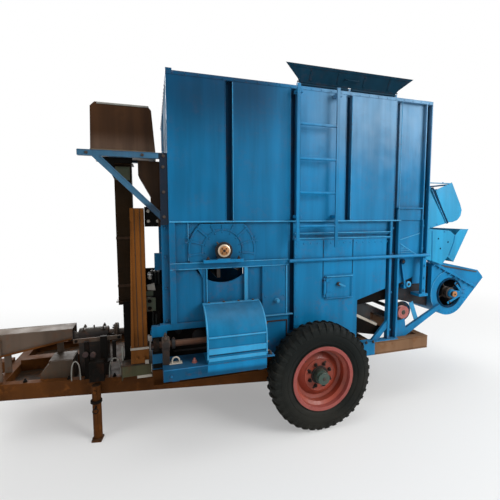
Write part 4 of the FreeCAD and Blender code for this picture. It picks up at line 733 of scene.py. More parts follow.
def add_line_shaft():
    """The side shaft under the guard: shaft, grooved pulley, collars and the yoke at its front end."""
    low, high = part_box("line_shaft")
    centre = Vector((low.x, (low.y + high.y) / 2, (low.z + high.z) / 2))
    radius = (high.z - low.z) / 2
    piece = Piece()
    piece.rod(centre, Vector((high.x - 0.045, centre.y, centre.z)), 0.0198, 28, 0)
    add_pulley(piece, (AXLE + 0.540, centre.y, centre.z), AHEAD, 0.130, radius, 4, 0.0198, 1, 6, 2)
    for x in (AXLE + 0.476, AXLE + 0.700, AXLE + 0.955):
        piece.turned((x, centre.y, centre.z), AHEAD,
                     [(0, 0.030), (0.002, 0.032), (0.018, 0.032), (0.020, 0.030)], 24, 2)
        piece.bolt((x + 0.010, centre.y, centre.z + 0.031), UP, 0.010, tag=2, washer=False)
    tip = high.x
    piece.turned((tip - 0.047, centre.y, centre.z), AHEAD,
                 [(0, 0.036), (0.006, 0.038), (0.028, 0.038), (0.034, 0.030)], 24, 3)
    for end in (-1, 1):
        piece.box((tip - 0.020, centre.y + end * 0.026 - 0.007, centre.z - 0.016),
                  (tip, centre.y + end * 0.026 + 0.007, centre.z + 0.016), 3)
    pin = Vector((tip - 0.009, centre.y, centre.z))
    piece.rod(pin - LEFT * 0.034, pin + LEFT * 0.034, 0.009, 14, 2)
    piece.place("line_shaft_turned", "line", "dark_steel", "worn_shaft", "steel", "black", "oily",
                stands_for=["line_shaft"])


def add_input_shaft():
    """The input shaft over the drawbar: splined stub, coupling flange, universal joint and grooved pulley."""
    low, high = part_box("input_shaft")
    y, z = (low.y + high.y) / 2, (low.z + high.z) / 2
    piece = Piece()
    piece.rod((low.x, y, z), (AXLE + 2.010, y, z), 0.0248, 28, 0)
    add_pulley(piece, (AXLE + 1.130, y, z), AHEAD, 0.070, (high.z - low.z) / 2, 3, 0.0248, 1, 5, 2)
    for x in (AXLE + 1.320, AXLE + 1.332):
        piece.turned((x + 0.0004, y, z), AHEAD,
                     [(0, 0.062), (0.002, 0.065), (0.0096, 0.065), (0.0112, 0.062)], 36, 1)
    for a in around(6):
        piece.bolt((AXLE + 1.344, y + 0.048 * cos(a), z + 0.048 * sin(a)), AHEAD, 0.014, tag=2, stud=True)
    for x in (AXLE + 1.600, AXLE + 1.770):
        piece.turned((x, y, z), AHEAD, [(0, 0.031), (0.003, 0.034), (0.040, 0.034), (0.046, 0.029)], 28, 2)
    for end in (-1, 1):
        inner, outer = end * 0.027 - 0.006, end * 0.027 + 0.006
        piece.box((AXLE + 1.640, y + inner, z - 0.018), (AXLE + 1.705, y + outer, z + 0.018), 2)
        piece.box((AXLE + 1.685, y - 0.018, z + inner), (AXLE + 1.772, y + 0.018, z + outer), 2)
    piece.rod((AXLE + 2.006, y, z), (AXLE + 2.120, y, z), 0.0140, 24, 0)
    for a in around(6):
        out = Vector((0, cos(a), sin(a)))
        base = Vector((0, y, z)) + out * 0.0125
        piece.bar(base + AHEAD * (AXLE + 2.012), base + AHEAD * (AXLE + 2.119), 0.0088, 0.0048, out)
    piece.place("input_shaft_turned", "input", "dark_steel", "steel", "guard_steel", "black",
                stands_for=["input_shaft"])


def add_rear_pulleys():
    """The sieve drive's jack shaft with a small pulley on each side."""
    low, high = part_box("rear_pulley_shaft")
    x, z = (low.x + high.x) / 2, (low.z + high.z) / 2
    piece = Piece()
    piece.rod((x, low.y, z), (x, high.y, z), 0.0148, 20, 2)
    for sign in (-1, 1):
        add_pulley(piece, (x, 0.631 * sign, z), (0, sign, 0), 0.030, (high.z - low.z) / 2, 1, 0.0148, 0)
        piece.turned((x, 0.652 * sign, z), (0, sign, 0), [(0, 0.026), (0.006, 0.026), (0.009, 0.019)], 20, 1)
        piece.turned((x, 0.612 * sign, z), (0, sign, 0),
                     [(0, 0.015), (0, 0.071), (0.003, 0.074), (0.011, 0.074), (0.014, 0.071), (0.014, 0.015)],
                     40, 3, hoop=True)
    piece.place("rear_pulleys", "rear_pulley", "red_pulley", "pulley_red", "hub", "steel", "black",
                stands_for=["rear_pulley_shaft"])


def add_bearing_fixings():
    """Nuts on the plummer blocks, their cap seams and grease nipples."""
    piece = Piece()
    line, drive = middle("line_shaft"), middle("input_shaft")
    for start, end, shaft, half in ((0.990, 1.030, line, 0.046), (0.415, 0.455, line, 0.046),
                                    (1.234, 1.274, drive, 0.048), (1.385, 1.570, drive, 0.048)):
        low, high, y, z = AXLE + start, AXLE + end, shaft.y, shaft.z
        for side in (-1, 1):
            for x in ((low + high) / 2,) if high - low < 0.1 else (low + 0.03, high - 0.03):
                piece.bolt((x, y + side * (half - 0.012), z + half - 0.0042), UP, 0.017, stud=True)
        piece.rod(((low + high) / 2, y, z + half - 0.005), ((low + high) / 2, y, z + half + 0.016), 0.005, 8, 0)
        for x, face in ((low, -1), (high, 1)):
            piece.turned((x, y, z), AHEAD * face,
                         [(0, 0.030), (0, 0.041), (0.0025, 0.041), (0.004, 0.030)], 32, hoop=True)
    piece.place("bearing_fixings", "chassis", "dark_steel", "steel")


# ---------------------------------------------------------------- side guard and platform
def add_side_guard_trim():
    """Hems, folds and fixings of the belt guard, its folds drawn partly as bands of painted highlight and painted
    shade, a painted shadow on the platform, and the belt space behind the shaft, backed with near-black plates as
    painted shade.
    """
    low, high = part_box("pulley_guard")
    piece = Piece()
    reach = high.y - low.y
    knee = high.z - reach
    for x in (low.x, high.x):
        path = [(x, low.y + reach * sin(a), knee + reach * cos(a))
                for a in spaced(radians(3), pi / 2, 17)]
        piece.tube(path + [(x, high.y, low.z + 0.03)], 0.0055, 8, 1)
    piece.box((low.x - 0.002, low.y - 0.004, high.z - 0.004), (high.x + 0.002, low.y + 0.030, high.z + 0.003), 1)
    for k in range(4):
        x = low.x + (high.x - low.x) * (0.1 + 0.8 * k / 3)
        piece.bolt((x, low.y + 0.014, high.z + 0.002), UP, 0.013, tag=2)
    piece.rod((low.x + 0.004, high.y, 0.730), (high.x - 0.004, high.y, 0.730), 0.0055, 10, 1)
    # Light and dark bands across the guard's lower part: painted highlight and painted shade of its folds.
    piece.box((low.x + 0.004, high.y - 0.002, 0.628), (high.x - 0.004, high.y + 0.006, 0.664), 1)
    piece.box((low.x + 0.004, high.y - 0.002, 0.618), (high.x - 0.004, high.y + 0.003, 0.626), 3)
    piece.box((low.x + 0.004, high.y - 0.002, 0.586), (high.x - 0.004, high.y + 0.005, 0.608), 1)
    back = low.x - 0.005
    piece.bar((back, 0.842, 0.580), (back, 0.800, 0.800), 0.030, 0.006, (1, 0, 0))
    for y, z in ((0.838, 0.606), (0.828, 0.660), (0.806, 0.772)):
        piece.bolt((back, y, z), (-1, 0, 0), 0.017, tag=2, stud=True)
    piece.box((back - 0.052, 0.792, 0.566), (back + 0.006, 0.850, 0.575))
    piece.bolt((back - 0.030, 0.822, 0.575), UP, 0.019, tag=2, stud=True)
    low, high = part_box("guard_platform")
    # A dark patch on the platform: painted shadow.
    piece.box((AXLE + 0.776, high.y - 0.003, 0.520), (AXLE + 0.905, high.y + 0.001, 0.550), 3)
    piece.box((low.x + 0.002, high.y - 0.004, high.z - 0.004), (high.x - 0.002, high.y + 0.001, high.z + 0.002))
    piece.bolt((AXLE + 0.985, high.y - 0.001, 0.530), LEFT, 0.013, washer=False)
    piece.place("side_guard_trim", "chassis", "blue_paint", "blue", "light_blue", "steel", "dark_blue")

    space = Piece()
    front, sill = AXLE + 1.000, 0.735
    # Near-black plates behind the belts: painted shade in the belt space.
    space.box((AXLE + 0.190, 0.560, 0.485), (front, 0.566, sill - 0.002))
    space.box((front - 0.006, 0.566, 0.485), (front, 0.606, sill - 0.002))
    space.turned((AXLE + 0.925, 0.5665, 0.700), LEFT, [(0, 0.022), (0.010, 0.022), (0.013, 0.016)], 20, 1)
    space.turned((AXLE + 0.790, 0.5665, 0.655), LEFT, [(0, 0.045), (0.016, 0.045), (0.019, 0.038)], 28, 1)
    space.box((AXLE + 0.45, 0.566, 0.560), (front - 0.04, 0.574, 0.572), 1)
    space.box((0.494, 0.6540, 0.592), (0.573, 0.6575, 0.700))
    space.box((0.494, 0.6540, 0.500), (0.573, 0.6568, 0.530))
    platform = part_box("guard_platform")[1]
    top = platform.z
    x = AXLE + 0.955
    space.tube([(x + 0.022 * cos(a), 0.770, top + 0.012 + 0.026 * sin(a))
                for a in spaced(0, pi, 13)], 0.005, 8, 2)
    for end in (-1, 1):
        space.rod((x + end * 0.022, 0.770, top - 0.002), (x + end * 0.022, 0.770, top + 0.014), 0.005, 10, 2)
    space.box((x - 0.038, 0.752, top - 0.001), (x + 0.038, 0.788, top + 0.005), 2)
    space.bolt((AXLE + 0.845, 0.790, top), UP, 0.024, tag=3, stud=True)
    space.place("belt_space", "chassis", "blue_paint", "oily", "black", "pale", "pulley_red")


# ---------------------------------------------------------------- body panels
# Heights of the sill under the upper walls, of the walls' top edge and of the roof sheet.
SILL, EAVES, ROOF = 1.420, 2.320, 2.300


def add_panel_trim():
    """Hems, ledges, rivets and weld beads on both sides of the body; their lighter strips are partly painted
    highlight, and the dark strips in grooves, under ledges and below folds are painted shade.
    """
    piece = Piece()
    face = 0.660
    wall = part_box("upper_wall_left")
    rear, front, base, top = wall[0].x, wall[1].x, SILL, EAVES
    skin = wall[1].y
    piece.box((AXLE - 0.740, skin - 0.004, base - 0.006), (front - 0.002, skin + 0.005, base + 0.004), 1)
    piece.box((rear + 0.004, skin - 0.004, top - 0.024), (front - 0.002, skin + 0.003, top - 0.006))
    y, z = skin + 0.0025, top - 0.015
    piece.domes((rear + 0.04, y, z), (front - 0.04, y, z), 26, LEFT, 0.0055)
    for groove in (0.591, 0.150, -0.272, -0.695):
        for edge, tag in ((-0.024, 1), (0.024, 0)):
            x = AXLE + groove + edge
            piece.strap(skin - 0.002, (x, base + 0.008), (x, top - 0.028), 0.005, 0.0045, tag)
        x = AXLE + groove
        # A near-black strip on the groove's floor: painted shade.
        piece.box((x - 0.0195, 0.6285, base + 0.006), (x + 0.0195, 0.6315, top - 0.030), 3)
    # The same painted shade in the groove at the tail corner, beside the rear-mid post and in the seam at the front
    # bay.
    piece.box((AXLE - 0.990, 0.6285, base + 0.006), (AXLE - 0.952, 0.6315, top - 0.030), 3)
    piece.box((AXLE - 0.720, 0.6265, 0.502), (AXLE - 0.668, 0.6295, base - 0.004), 3)
    piece.box((AXLE + 0.122, 0.6190, 0.640), (AXLE + 0.154, 0.6225, base - 0.010), 3)
    for z in (1.158, 1.120):
        piece.box((AXLE + 0.182, face - 0.004, z - 0.003), (AXLE + 0.971, face + 0.002, z + 0.003), 1)
    strip = AXLE + 0.863
    piece.box((strip - 0.010, 0.637, 1.172), (strip - 0.004, 0.650, 1.414), 1)
    piece.box((strip - 0.030, 0.637, 1.172), (strip + 0.010, 0.642, 1.414))
    piece.domes((strip - 0.020, 0.6415, 1.200), (strip - 0.020, 0.6415, 1.388), 5, LEFT, 0.0055)
    for low in (0.472, 0.742):
        piece.box((AXLE + low - 0.001, face - 0.004, 0.782), (AXLE + low + 0.005, face + 0.003, 1.119), 1)
    piece.box((AXLE + 0.473, face - 0.003, 0.783), (AXLE + 0.496, face + 0.0015, 1.118), 1)
    piece.plate(0.640, 0.016, [(AXLE + 0.800, 1.118), (AXLE + 0.768, 1.118), (AXLE + 0.768, 1.055)])
    piece.box((AXLE + 0.152, 0.652, 0.772), (AXLE + 0.378, 0.676, 0.779), 1)
    piece.box((AXLE + 0.190, 0.650, 0.776), (AXLE + 0.200, 0.662, 1.116), 1)
    piece.box((AXLE + 0.360, 0.650, 0.776), (AXLE + 0.370, 0.660, 1.116))
    for x in (0.188, 0.368):
        piece.box((AXLE + x - 0.004, 0.646, 0.498), (AXLE + x + 0.004, 0.654, 0.732), 2)
    piece.box((AXLE + 0.188, 0.646, 0.724), (AXLE + 0.368, 0.654, 0.733), 2)
    knob = [(0, 0.018), (0.004, 0.018), (0.006, 0.009), (0.014, 0.008), (0.016, 0.013), (0.026, 0.013),
            (0.030, 0.009)]
    piece.turned((AXLE + 0.264, 0.656, 0.875), LEFT, knob, 20, 1)
    piece.box((AXLE + 0.236, 0.655, 0.868), (AXLE + 0.292, 0.659, 0.882))
    for z in (0.905, 1.085):
        for x in (0.212, 0.348):
            piece.dome((AXLE + x, 0.6555, z), LEFT, 0.006)
    for x in (-0.085, -0.325):
        piece.box((AXLE + x - 0.0035, face - 0.003, 0.900), (AXLE + x + 0.0035, face + 0.0025, 1.284), 4)
    piece.domes((AXLE + 0.120, 0.6595, 1.262), (AXLE - 0.622, 0.6595, 1.262), 15, LEFT, 0.0055)
    piece.domes((AXLE + 0.122, 0.6595, 0.560), (AXLE + 0.122, 0.6595, 1.242), 12, LEFT, 0.0055)
    for z in (1.291, 1.328):
        piece.box((AXLE - 0.649, 0.656, z + 0.003), (AXLE + 0.135, 0.664, z + 0.010), 1)
    for z in (0.79, 1.0, 1.2, 1.38):
        piece.bolt((AXLE + 0.995, 0.624, z), LEFT, 0.014)
    for x in (0.190, 0.550, 0.920):
        piece.bead((AXLE + x, 0.661, 1.119), (AXLE + x + 0.03, 0.661, 1.119), 0.004)
    for low, high in (((-1.454, 1.317), (-1.268, 1.269)), ((-1.428, 1.148), (-1.268, 1.239))):
        piece.strap(0.638, low, high, 0.008, 0.006, 1)
    piece.plate(0.636, 0.003, [(-1.270, 1.232), (-1.400, 1.158), (-1.270, 1.158)], 4)
    for k in range(4):
        z = 1.166 + 0.014 * k
        piece.box((-1.384 + 0.024 * k, 0.638, z), (-1.274, 0.644, z + 0.005), 1)
    piece.box((-1.479, 0.630, 1.492), (-1.263, 0.640, 1.504), 1)
    # A dark strip under the ledge: painted shadow.
    piece.box((-1.479, 0.630, 1.476), (-1.263, 0.636, 1.491), 4)
    piece.box((-1.540, 0.572, 0.900), (-1.452, 0.578, 1.160))
    for z in (1.195, 1.375):
        piece.bolt((AXLE - 0.975, 0.631, z), LEFT, 0.016)
    for z in (0.56, 0.86, 1.16, 1.36):
        piece.bolt((AXLE - 0.692, 0.628, z), LEFT, 0.014)
    piece.mirrored()
    piece.place("panel_trim", "chassis", "blue_paint", "blue", "light_blue", "rust_edge", "groove", "dark_blue")


def add_door_fittings():
    """The inspection door's pressed rim, latch and hinge knuckles."""
    low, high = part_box("inspection_door")
    face = high.y - 0.003
    door = Piece()
    left, right = low.x, AXLE - 0.100
    door.box((left + 0.006, face - 0.002, high.z - 0.014), (right - 0.006, face + 0.0035, high.z - 0.006), 1)
    door.box((left + 0.006, face - 0.002, low.z + 0.006), (right - 0.006, face + 0.0025, low.z + 0.012))
    for x in (left + 0.008, right - 0.014):
        door.box((x, face - 0.002, low.z + 0.013), (x + 0.006, face + 0.0025, high.z - 0.015))
    spot = Vector((AXLE - 0.205, face, 0.963))
    door.turned(spot, LEFT, [(-0.011, 0.014), (0.003, 0.014), (0.004, 0.006), (0.014, 0.006)], 18, 2)
    door.bar(spot + Vector((0.006, 0.012, 0.006)), spot + Vector((-0.045, 0.012, -0.018)), 0.012, 0.005, LEFT, 1)
    for z in (low.z + 0.035, high.z - 0.035):
        door.box((right - 0.045, face - 0.001, z - 0.014), (right - 0.002, face + 0.003, z + 0.014))
        for x in (right - 0.036, right - 0.018):
            door.dome((x, face + 0.0025, z), LEFT, 0.004)
    door.place("door_fittings", "door", "blue_paint", "blue", "light_blue", "steel")


# ---------------------------------------------------------------- rear end
def add_blower_trim():
    """Flanges, bolts and bearing spiders at the blower's inlets, and the shaft ends inside them."""
    side = 0.605
    centre = Vector((AXLE - 1.300, side - 0.004, 0.807))
    piece = Piece()
    piece.turned(centre, LEFT, [(0, 0.113), (0, 0.127), (0.006, 0.127), (0.008, 0.124), (0.008, 0.115)], 56, 3,
                 hoop=True)
    for a in around(8, 0.5):
        piece.dome(centre + spoke(a) * 0.120 + LEFT * 0.008, LEFT, 0.005, 3)
    tip = Vector((-1.950, side + 0.006, 0.796))
    for x, z in ((-1.861, 0.892), (-1.790, 0.722)):
        arm = Vector((x, side + 0.006, z))
        piece.bar(tip, arm, 0.021, 0.007, LEFT)
        piece.bolt(arm.lerp(tip, 0.12) + LEFT * 0.007, LEFT, 0.012, tag=2)
    piece.bar(tip + Vector((-0.006, 0, -0.004)), centre + Vector((-0.050, 0.010, 0)), 0.040, 0.006, LEFT)
    piece.turned(centre + LEFT * 0.004, LEFT,
                 [(0, 0.0315), (0, 0.046), (0.012, 0.046), (0.016, 0.042), (0.016, 0.0315)], 32, 2, hoop=True)
    crescent = [centre + spoke(a) * 0.190 - LEFT * 0.001 for a in spaced(radians(-28), radians(90), 21)]
    for first, second in zip(crescent, crescent[1:]):
        piece.bar(first, second, 0.007, 0.004, LEFT, 1)
    piece.strap(side - 0.006, (-1.719, 1.042), (-2.100, 0.972), 0.010, 0.012, 2)
    for share in spaced(0.5 / 9, 8.5 / 9, 9):
        piece.bolt((-1.545 - 0.515 * share, 0.614, 1.093 - 0.248 * share), LEFT, 0.012)
    for a in spaced(radians(175), radians(325), 14):
        piece.dome(centre + spoke(a) * 0.172, LEFT, 0.005)
    piece.mirrored()
    piece.place("blower_trim", "chassis", "blue_paint", "blue", "light_blue", "steel", "groove")

    ends = Piece()
    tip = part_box("blower_rotor")[1].y
    at = Vector((centre.x, tip - 0.003, centre.z))
    ends.turned(at, LEFT, [(0, 0.0215), (0.003, 0.024), (0.009, 0.024), (0.011, 0.020)], 28, 0)
    ends.turned(at + LEFT * 0.010, LEFT, [(0, 0.006), (0.004, 0.006), (0.005, 0.004)], 12, 1)
    ends.mirrored()
    ends.place("blower_shaft_ends", "blower", "dark_steel", "ochre", "black")


def add_rear_trim():
    """Seams and hems of the straw chute and hood, a painted shadow in the gap under the hood, eyes of the sieve
    links, and bolts on the braces.
    """
    piece = Piece()
    face = 0.640
    piece.strap(face - 0.002, (-1.575, 1.335), (-1.584, 1.090), 0.007, 0.005)
    piece.strap(face - 0.002, (-1.806, 1.290), (-1.800, 1.240), 0.008, 0.005)
    piece.strap(face - 0.002, (-1.800, 1.240), (-1.755, 1.130), 0.008, 0.005)
    for x, z in ((-1.56, 1.36), (-1.62, 1.385), (-1.70, 1.325), (-1.60, 1.66), (-1.66, 1.716), (-1.50, 1.66)):
        piece.dome((x, face, z), LEFT, 0.006)
    for z in (0.858, 0.960, 1.060, 1.130):
        piece.bolt((AXLE - 0.984, 0.655, z), LEFT, 0.014)
    for x, z, reach, tag in ((-1.331, 1.092, 0.021, 3), (-1.392, 0.906, 0.024, 1)):
        piece.turned((x, 0.602, z), LEFT, [(0, 0.011), (0, reach), (0.008, reach), (0.010, reach - 0.003),
                                          (0.010, 0.011)], 28, tag, hoop=True)
        piece.bolt((x, 0.610, z), LEFT, 0.014, tag=2)
    # A near-black strip along the gap under the hood: painted shadow.
    piece.strap(face - 0.002, (-1.557, 1.676), (-1.727, 1.393), 0.018, 0.005, 3)
    piece.strap(face - 0.002, (-1.549, 1.662), (-1.712, 1.391), 0.006, 0.008, 1)
    piece.strap(0.604, (-1.420, 0.758), (-1.478, 0.614), 0.040, 0.006, 1)
    piece.plate(0.603, 0.010, [(-0.905, 0.838), (-1.180, 0.925), (-1.180, 0.800), (-0.905, 0.778)], 4)
    piece.strap(0.603, (-0.908, 0.700), (-1.105, 0.602), 0.020, 0.004, 5)
    piece.plate(0.603, 0.003, [(-0.905, 0.680), (-1.140, 0.585), (-1.110, 0.520), (-0.905, 0.560)], 4)
    piece.box((-1.120, 0.603, 0.470), (-1.090, 0.621, 0.540), 4)
    piece.turned((-1.340, 0.598, 0.690), LEFT, [(0, 0.030), (0, 0.080), (0.006, 0.080), (0.006, 0.030)], 40, 3,
                 hoop=True)
    piece.plate(0.6665, 0.008, [(-1.539, 0.402), (-1.002, 0.402), (-1.002, 0.482), (-1.539, 0.482)], 6)
    piece.slab([(-1.539, 0.618, 0.402), (-1.539, 0.667, 0.402), (-1.539, 0.667, 0.482), (-1.539, 0.618, 0.482)],
               (0.006, 0, 0), 6)
    for x, z in ((-1.640, 1.270), (-1.665, 1.190), (-1.740, 1.240)):
        piece.dome((x, face, z), LEFT, 0.007, 3)
    for x in (-0.960, -1.020):
        piece.bolt((x, 0.683, 0.497), UP, 0.016, tag=2, stud=True)
    piece.mirrored()
    piece.place("rear_trim", "chassis", "blue_paint", "blue", "light_blue", "steel", "groove", "oily", "pale",
                "brown")


# ---------------------------------------------------------------- front end
def add_grain_side():
    """Rims, bands and flanges of the grain box and its duct, and the shelf's bolts."""
    low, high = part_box("grain_box")
    piece = Piece()
    base = low.z
    for y, push in ((high.y, 0.004), (low.y, -0.004)):
        piece.plate(y, push, [(low.x + 0.012, base), (high.x - 0.006, base), (high.x - 0.008, base + 0.034),
                              (low.x + 0.010, base + 0.034)], 1)
        piece.plate(y, push, [(low.x + 0.035, high.z - 0.012), (high.x - 0.045, high.z - 0.012),
                              (high.x - 0.048, high.z - 0.001), (low.x + 0.038, high.z - 0.001)], 2)
        face, z = y + push, base + 0.017
        piece.domes((low.x + 0.04, face, z), (high.x - 0.04, face, z), 6, (0, push, 0), 0.006)
    piece.box((high.x - 0.003, low.y + 0.004, base), (high.x + 0.002, high.y - 0.004, base + 0.034), 1)
    low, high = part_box("bagging_duct")
    for z in (1.790, low.z + 0.020):
        for x0, x1, y0, y1 in ((low.x - 0.014, high.x + 0.014, high.y - 0.002, high.y + 0.012),
                               (low.x - 0.014, high.x + 0.014, low.y - 0.012, low.y + 0.002),
                               (low.x - 0.014, low.x + 0.002, low.y, high.y),
                               (high.x - 0.002, high.x + 0.014, low.y, high.y)):
            piece.box((x0, y0, z), (x1, y1, z + 0.006))
    piece.box((low.x + 0.008, high.y - 0.001, 1.688), (high.x - 0.008, high.y + 0.004, 1.776), 3)
    for z in (1.30, 0.98):
        piece.box((low.x - 0.002, high.y - 0.002, z), (high.x + 0.002, high.y + 0.004, z + 0.018))
    piece.plate(0.450, 0.006, [(0.846, 1.833), (0.775, 1.682), (0.773, 1.790), (0.667, 1.792), (0.667, 1.833)], 4)
    piece.place("grain_box_trim", "chassis", "brown_steel", "box_steel", "band", "dull_edge", "sage", "oily")

    shelf = Piece()
    for x in (0.48, 0.60, 0.90):
        shelf.bolt((x, 0.655, 1.816), LEFT, 0.013, tag=2)
    for z in (1.45, 1.60, 1.75):
        shelf.bolt((0.484, 0.655, z), LEFT, 0.014, tag=2)
    shelf.box((0.462, 0.6545, 1.8305), (0.946, 0.6575, 1.8335), 1)
    shelf.strap(0.6545, (0.502, 1.475), (0.831, 1.801), 0.007, 0.003, 1)
    shelf.place("shelf_trim", "chassis", "blue_paint", "blue", "shelf_blue", "steel")


def add_post_trim():
    """The support post's joined channel edges, its pale band and the bolts of its foot."""
    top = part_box("support_post")[1].z
    piece = Piece()
    front, rear = AXLE + 1.204, AXLE + 1.120
    near, far = 0.520, 0.440
    for x in (front - 0.028, rear + 0.024):
        piece.box((x, near - 0.002, 0.605), (x + 0.004, near + 0.003, top - 0.004), 1)
    piece.box((rear - 0.011, near + 0.006, 0.584), (front + 0.022, near + 0.011, 0.599), 2)
    piece.box((front + 0.017, far - 0.006, 0.584), (front + 0.022, near + 0.008, 0.599), 2)
    piece.box((rear - 0.011, far - 0.006, 0.584), (rear - 0.006, near + 0.008, 0.599), 2)
    for x in (rear + 0.020, front - 0.020):
        piece.bolt((x, near + 0.001, 0.530), LEFT, 0.019, stud=True)
    piece.bead((rear, near + 0.003, 0.492), (front, near + 0.003, 0.492), 0.005)
    piece.slab([(front - 0.002, near + 0.009, 1.420), (front - 0.002, near + 0.009, 0.491),
                (front + 0.021, near + 0.009, 0.491)], (0, far - near - 0.009, 0))
    piece.box((front + 0.001, 0.404, 0.489), (front + 0.065, 0.430, 0.884), 3)
    piece.box((front + 0.001, 0.404, 0.489), (front + 0.078, 0.436, 0.499), 3)
    piece.box((0.460, 0.440, 1.386), (0.602, 0.498, 1.514), 3)
    for x, z in ((0.578, 1.422), (0.578, 1.486), (0.520, 1.422)):
        piece.bolt((x, 0.498, z), LEFT, 0.016, tag=2)
    piece.place("post_trim", "chassis", "orange_brown", "post", "tan", "pale", "oily")


def add_front_drive():
    """Belts, their pulleys and the bearing block between the post and the body, with a bolt head painted pale as a
    glint.
    """
    piece = Piece()
    upper, lower, width, strands = Vector((0.512, 0.375, 1.018)), Vector((0.512, 0.400, 0.640)), 0.064, 3
    small, large = 0.060, 0.090
    add_pulley(piece, upper, AHEAD, width, small + 0.002, strands, 0.014, 1)
    add_pulley(piece, lower, AHEAD, width, large + 0.002, strands, 0.014, 1, 4, 1)
    piece.rod(upper - AHEAD * 0.057, upper + AHEAD * 0.075, 0.014, 16, 1)
    piece.rod(lower - AHEAD * 0.057, lower + AHEAD * 0.080, 0.014, 16, 1)
    down = lower - upper
    turn, lean = atan2(down.z, down.y), asin((large - small) / down.length)
    arcs = [(upper, small, spaced(turn + pi / 2 + lean, turn + 1.5 * pi - lean, 15)),
            (lower, large, spaced(turn - pi / 2 - lean, turn + pi / 2 + lean, 15))]
    for strand in range(strands):
        along = AHEAD * width * (strand + 0.5) / strands
        path = [hub + along + Vector((0, cos(a), sin(a))) * radius for hub, radius, arc in arcs for a in arc]
        piece.tube(path, 0.0075, 6, 0, ring=True)
    piece.box((0.545, 0.452, 0.824), (0.612, 0.492, 0.914), 2)
    piece.box((0.462, 0.440, 0.800), (0.560, 0.480, 0.990), 1)
    for z in (0.845, 0.892):
        piece.bolt((0.585, 0.492, z), LEFT, 0.018, tag=1, stud=True)
    piece.plate(0.480, 0.006, [(0.545, 0.962), (0.596, 0.966), (0.600, 1.000), (0.552, 1.012)], 3)
    piece.box((0.560, 0.470, 0.925), (0.606, 0.480, 0.958), 2)
    piece.box((0.566, 0.296, 1.036), (0.594, 0.480, 1.064), 1)
    # A pale bolt head: a painted glint.
    piece.bolt((0.580, 0.480, 1.050), LEFT, 0.020, tag=3)
    piece.box((0.470, 0.296, 0.610), (0.500, 0.400, 0.668), 1)
    piece.box((0.462, 0.294, 0.600), (0.640, 0.298, 1.086), 1)
    piece.box((0.456, 0.488, 1.098), (0.548, 0.498, 1.212), 4)
    piece.strap(0.500, (0.520, 0.822), (0.560, 0.620), 0.020, 0.010, 1)
    piece.rod((0.548, 0.455, 0.683), (0.548, 0.525, 0.683), 0.037, 28, 4)
    for k in range(4):
        piece.tube([(0.548 + 0.024 * cos(a), 0.520 + 0.012 * sin(a), 0.590 + 0.014 * k)
                    for a in around(16)], 0.0072, 8, 1, ring=True)
    piece.box((0.500, 0.500, 0.486), (0.572, 0.545, 0.560), 4)
    piece.box((0.598, 0.530, 0.490), (0.622, 0.546, 0.514), 3)
    piece.place("front_drive", "chassis", "dark_steel", "belt", "oily", "sage", "pale", "blue")


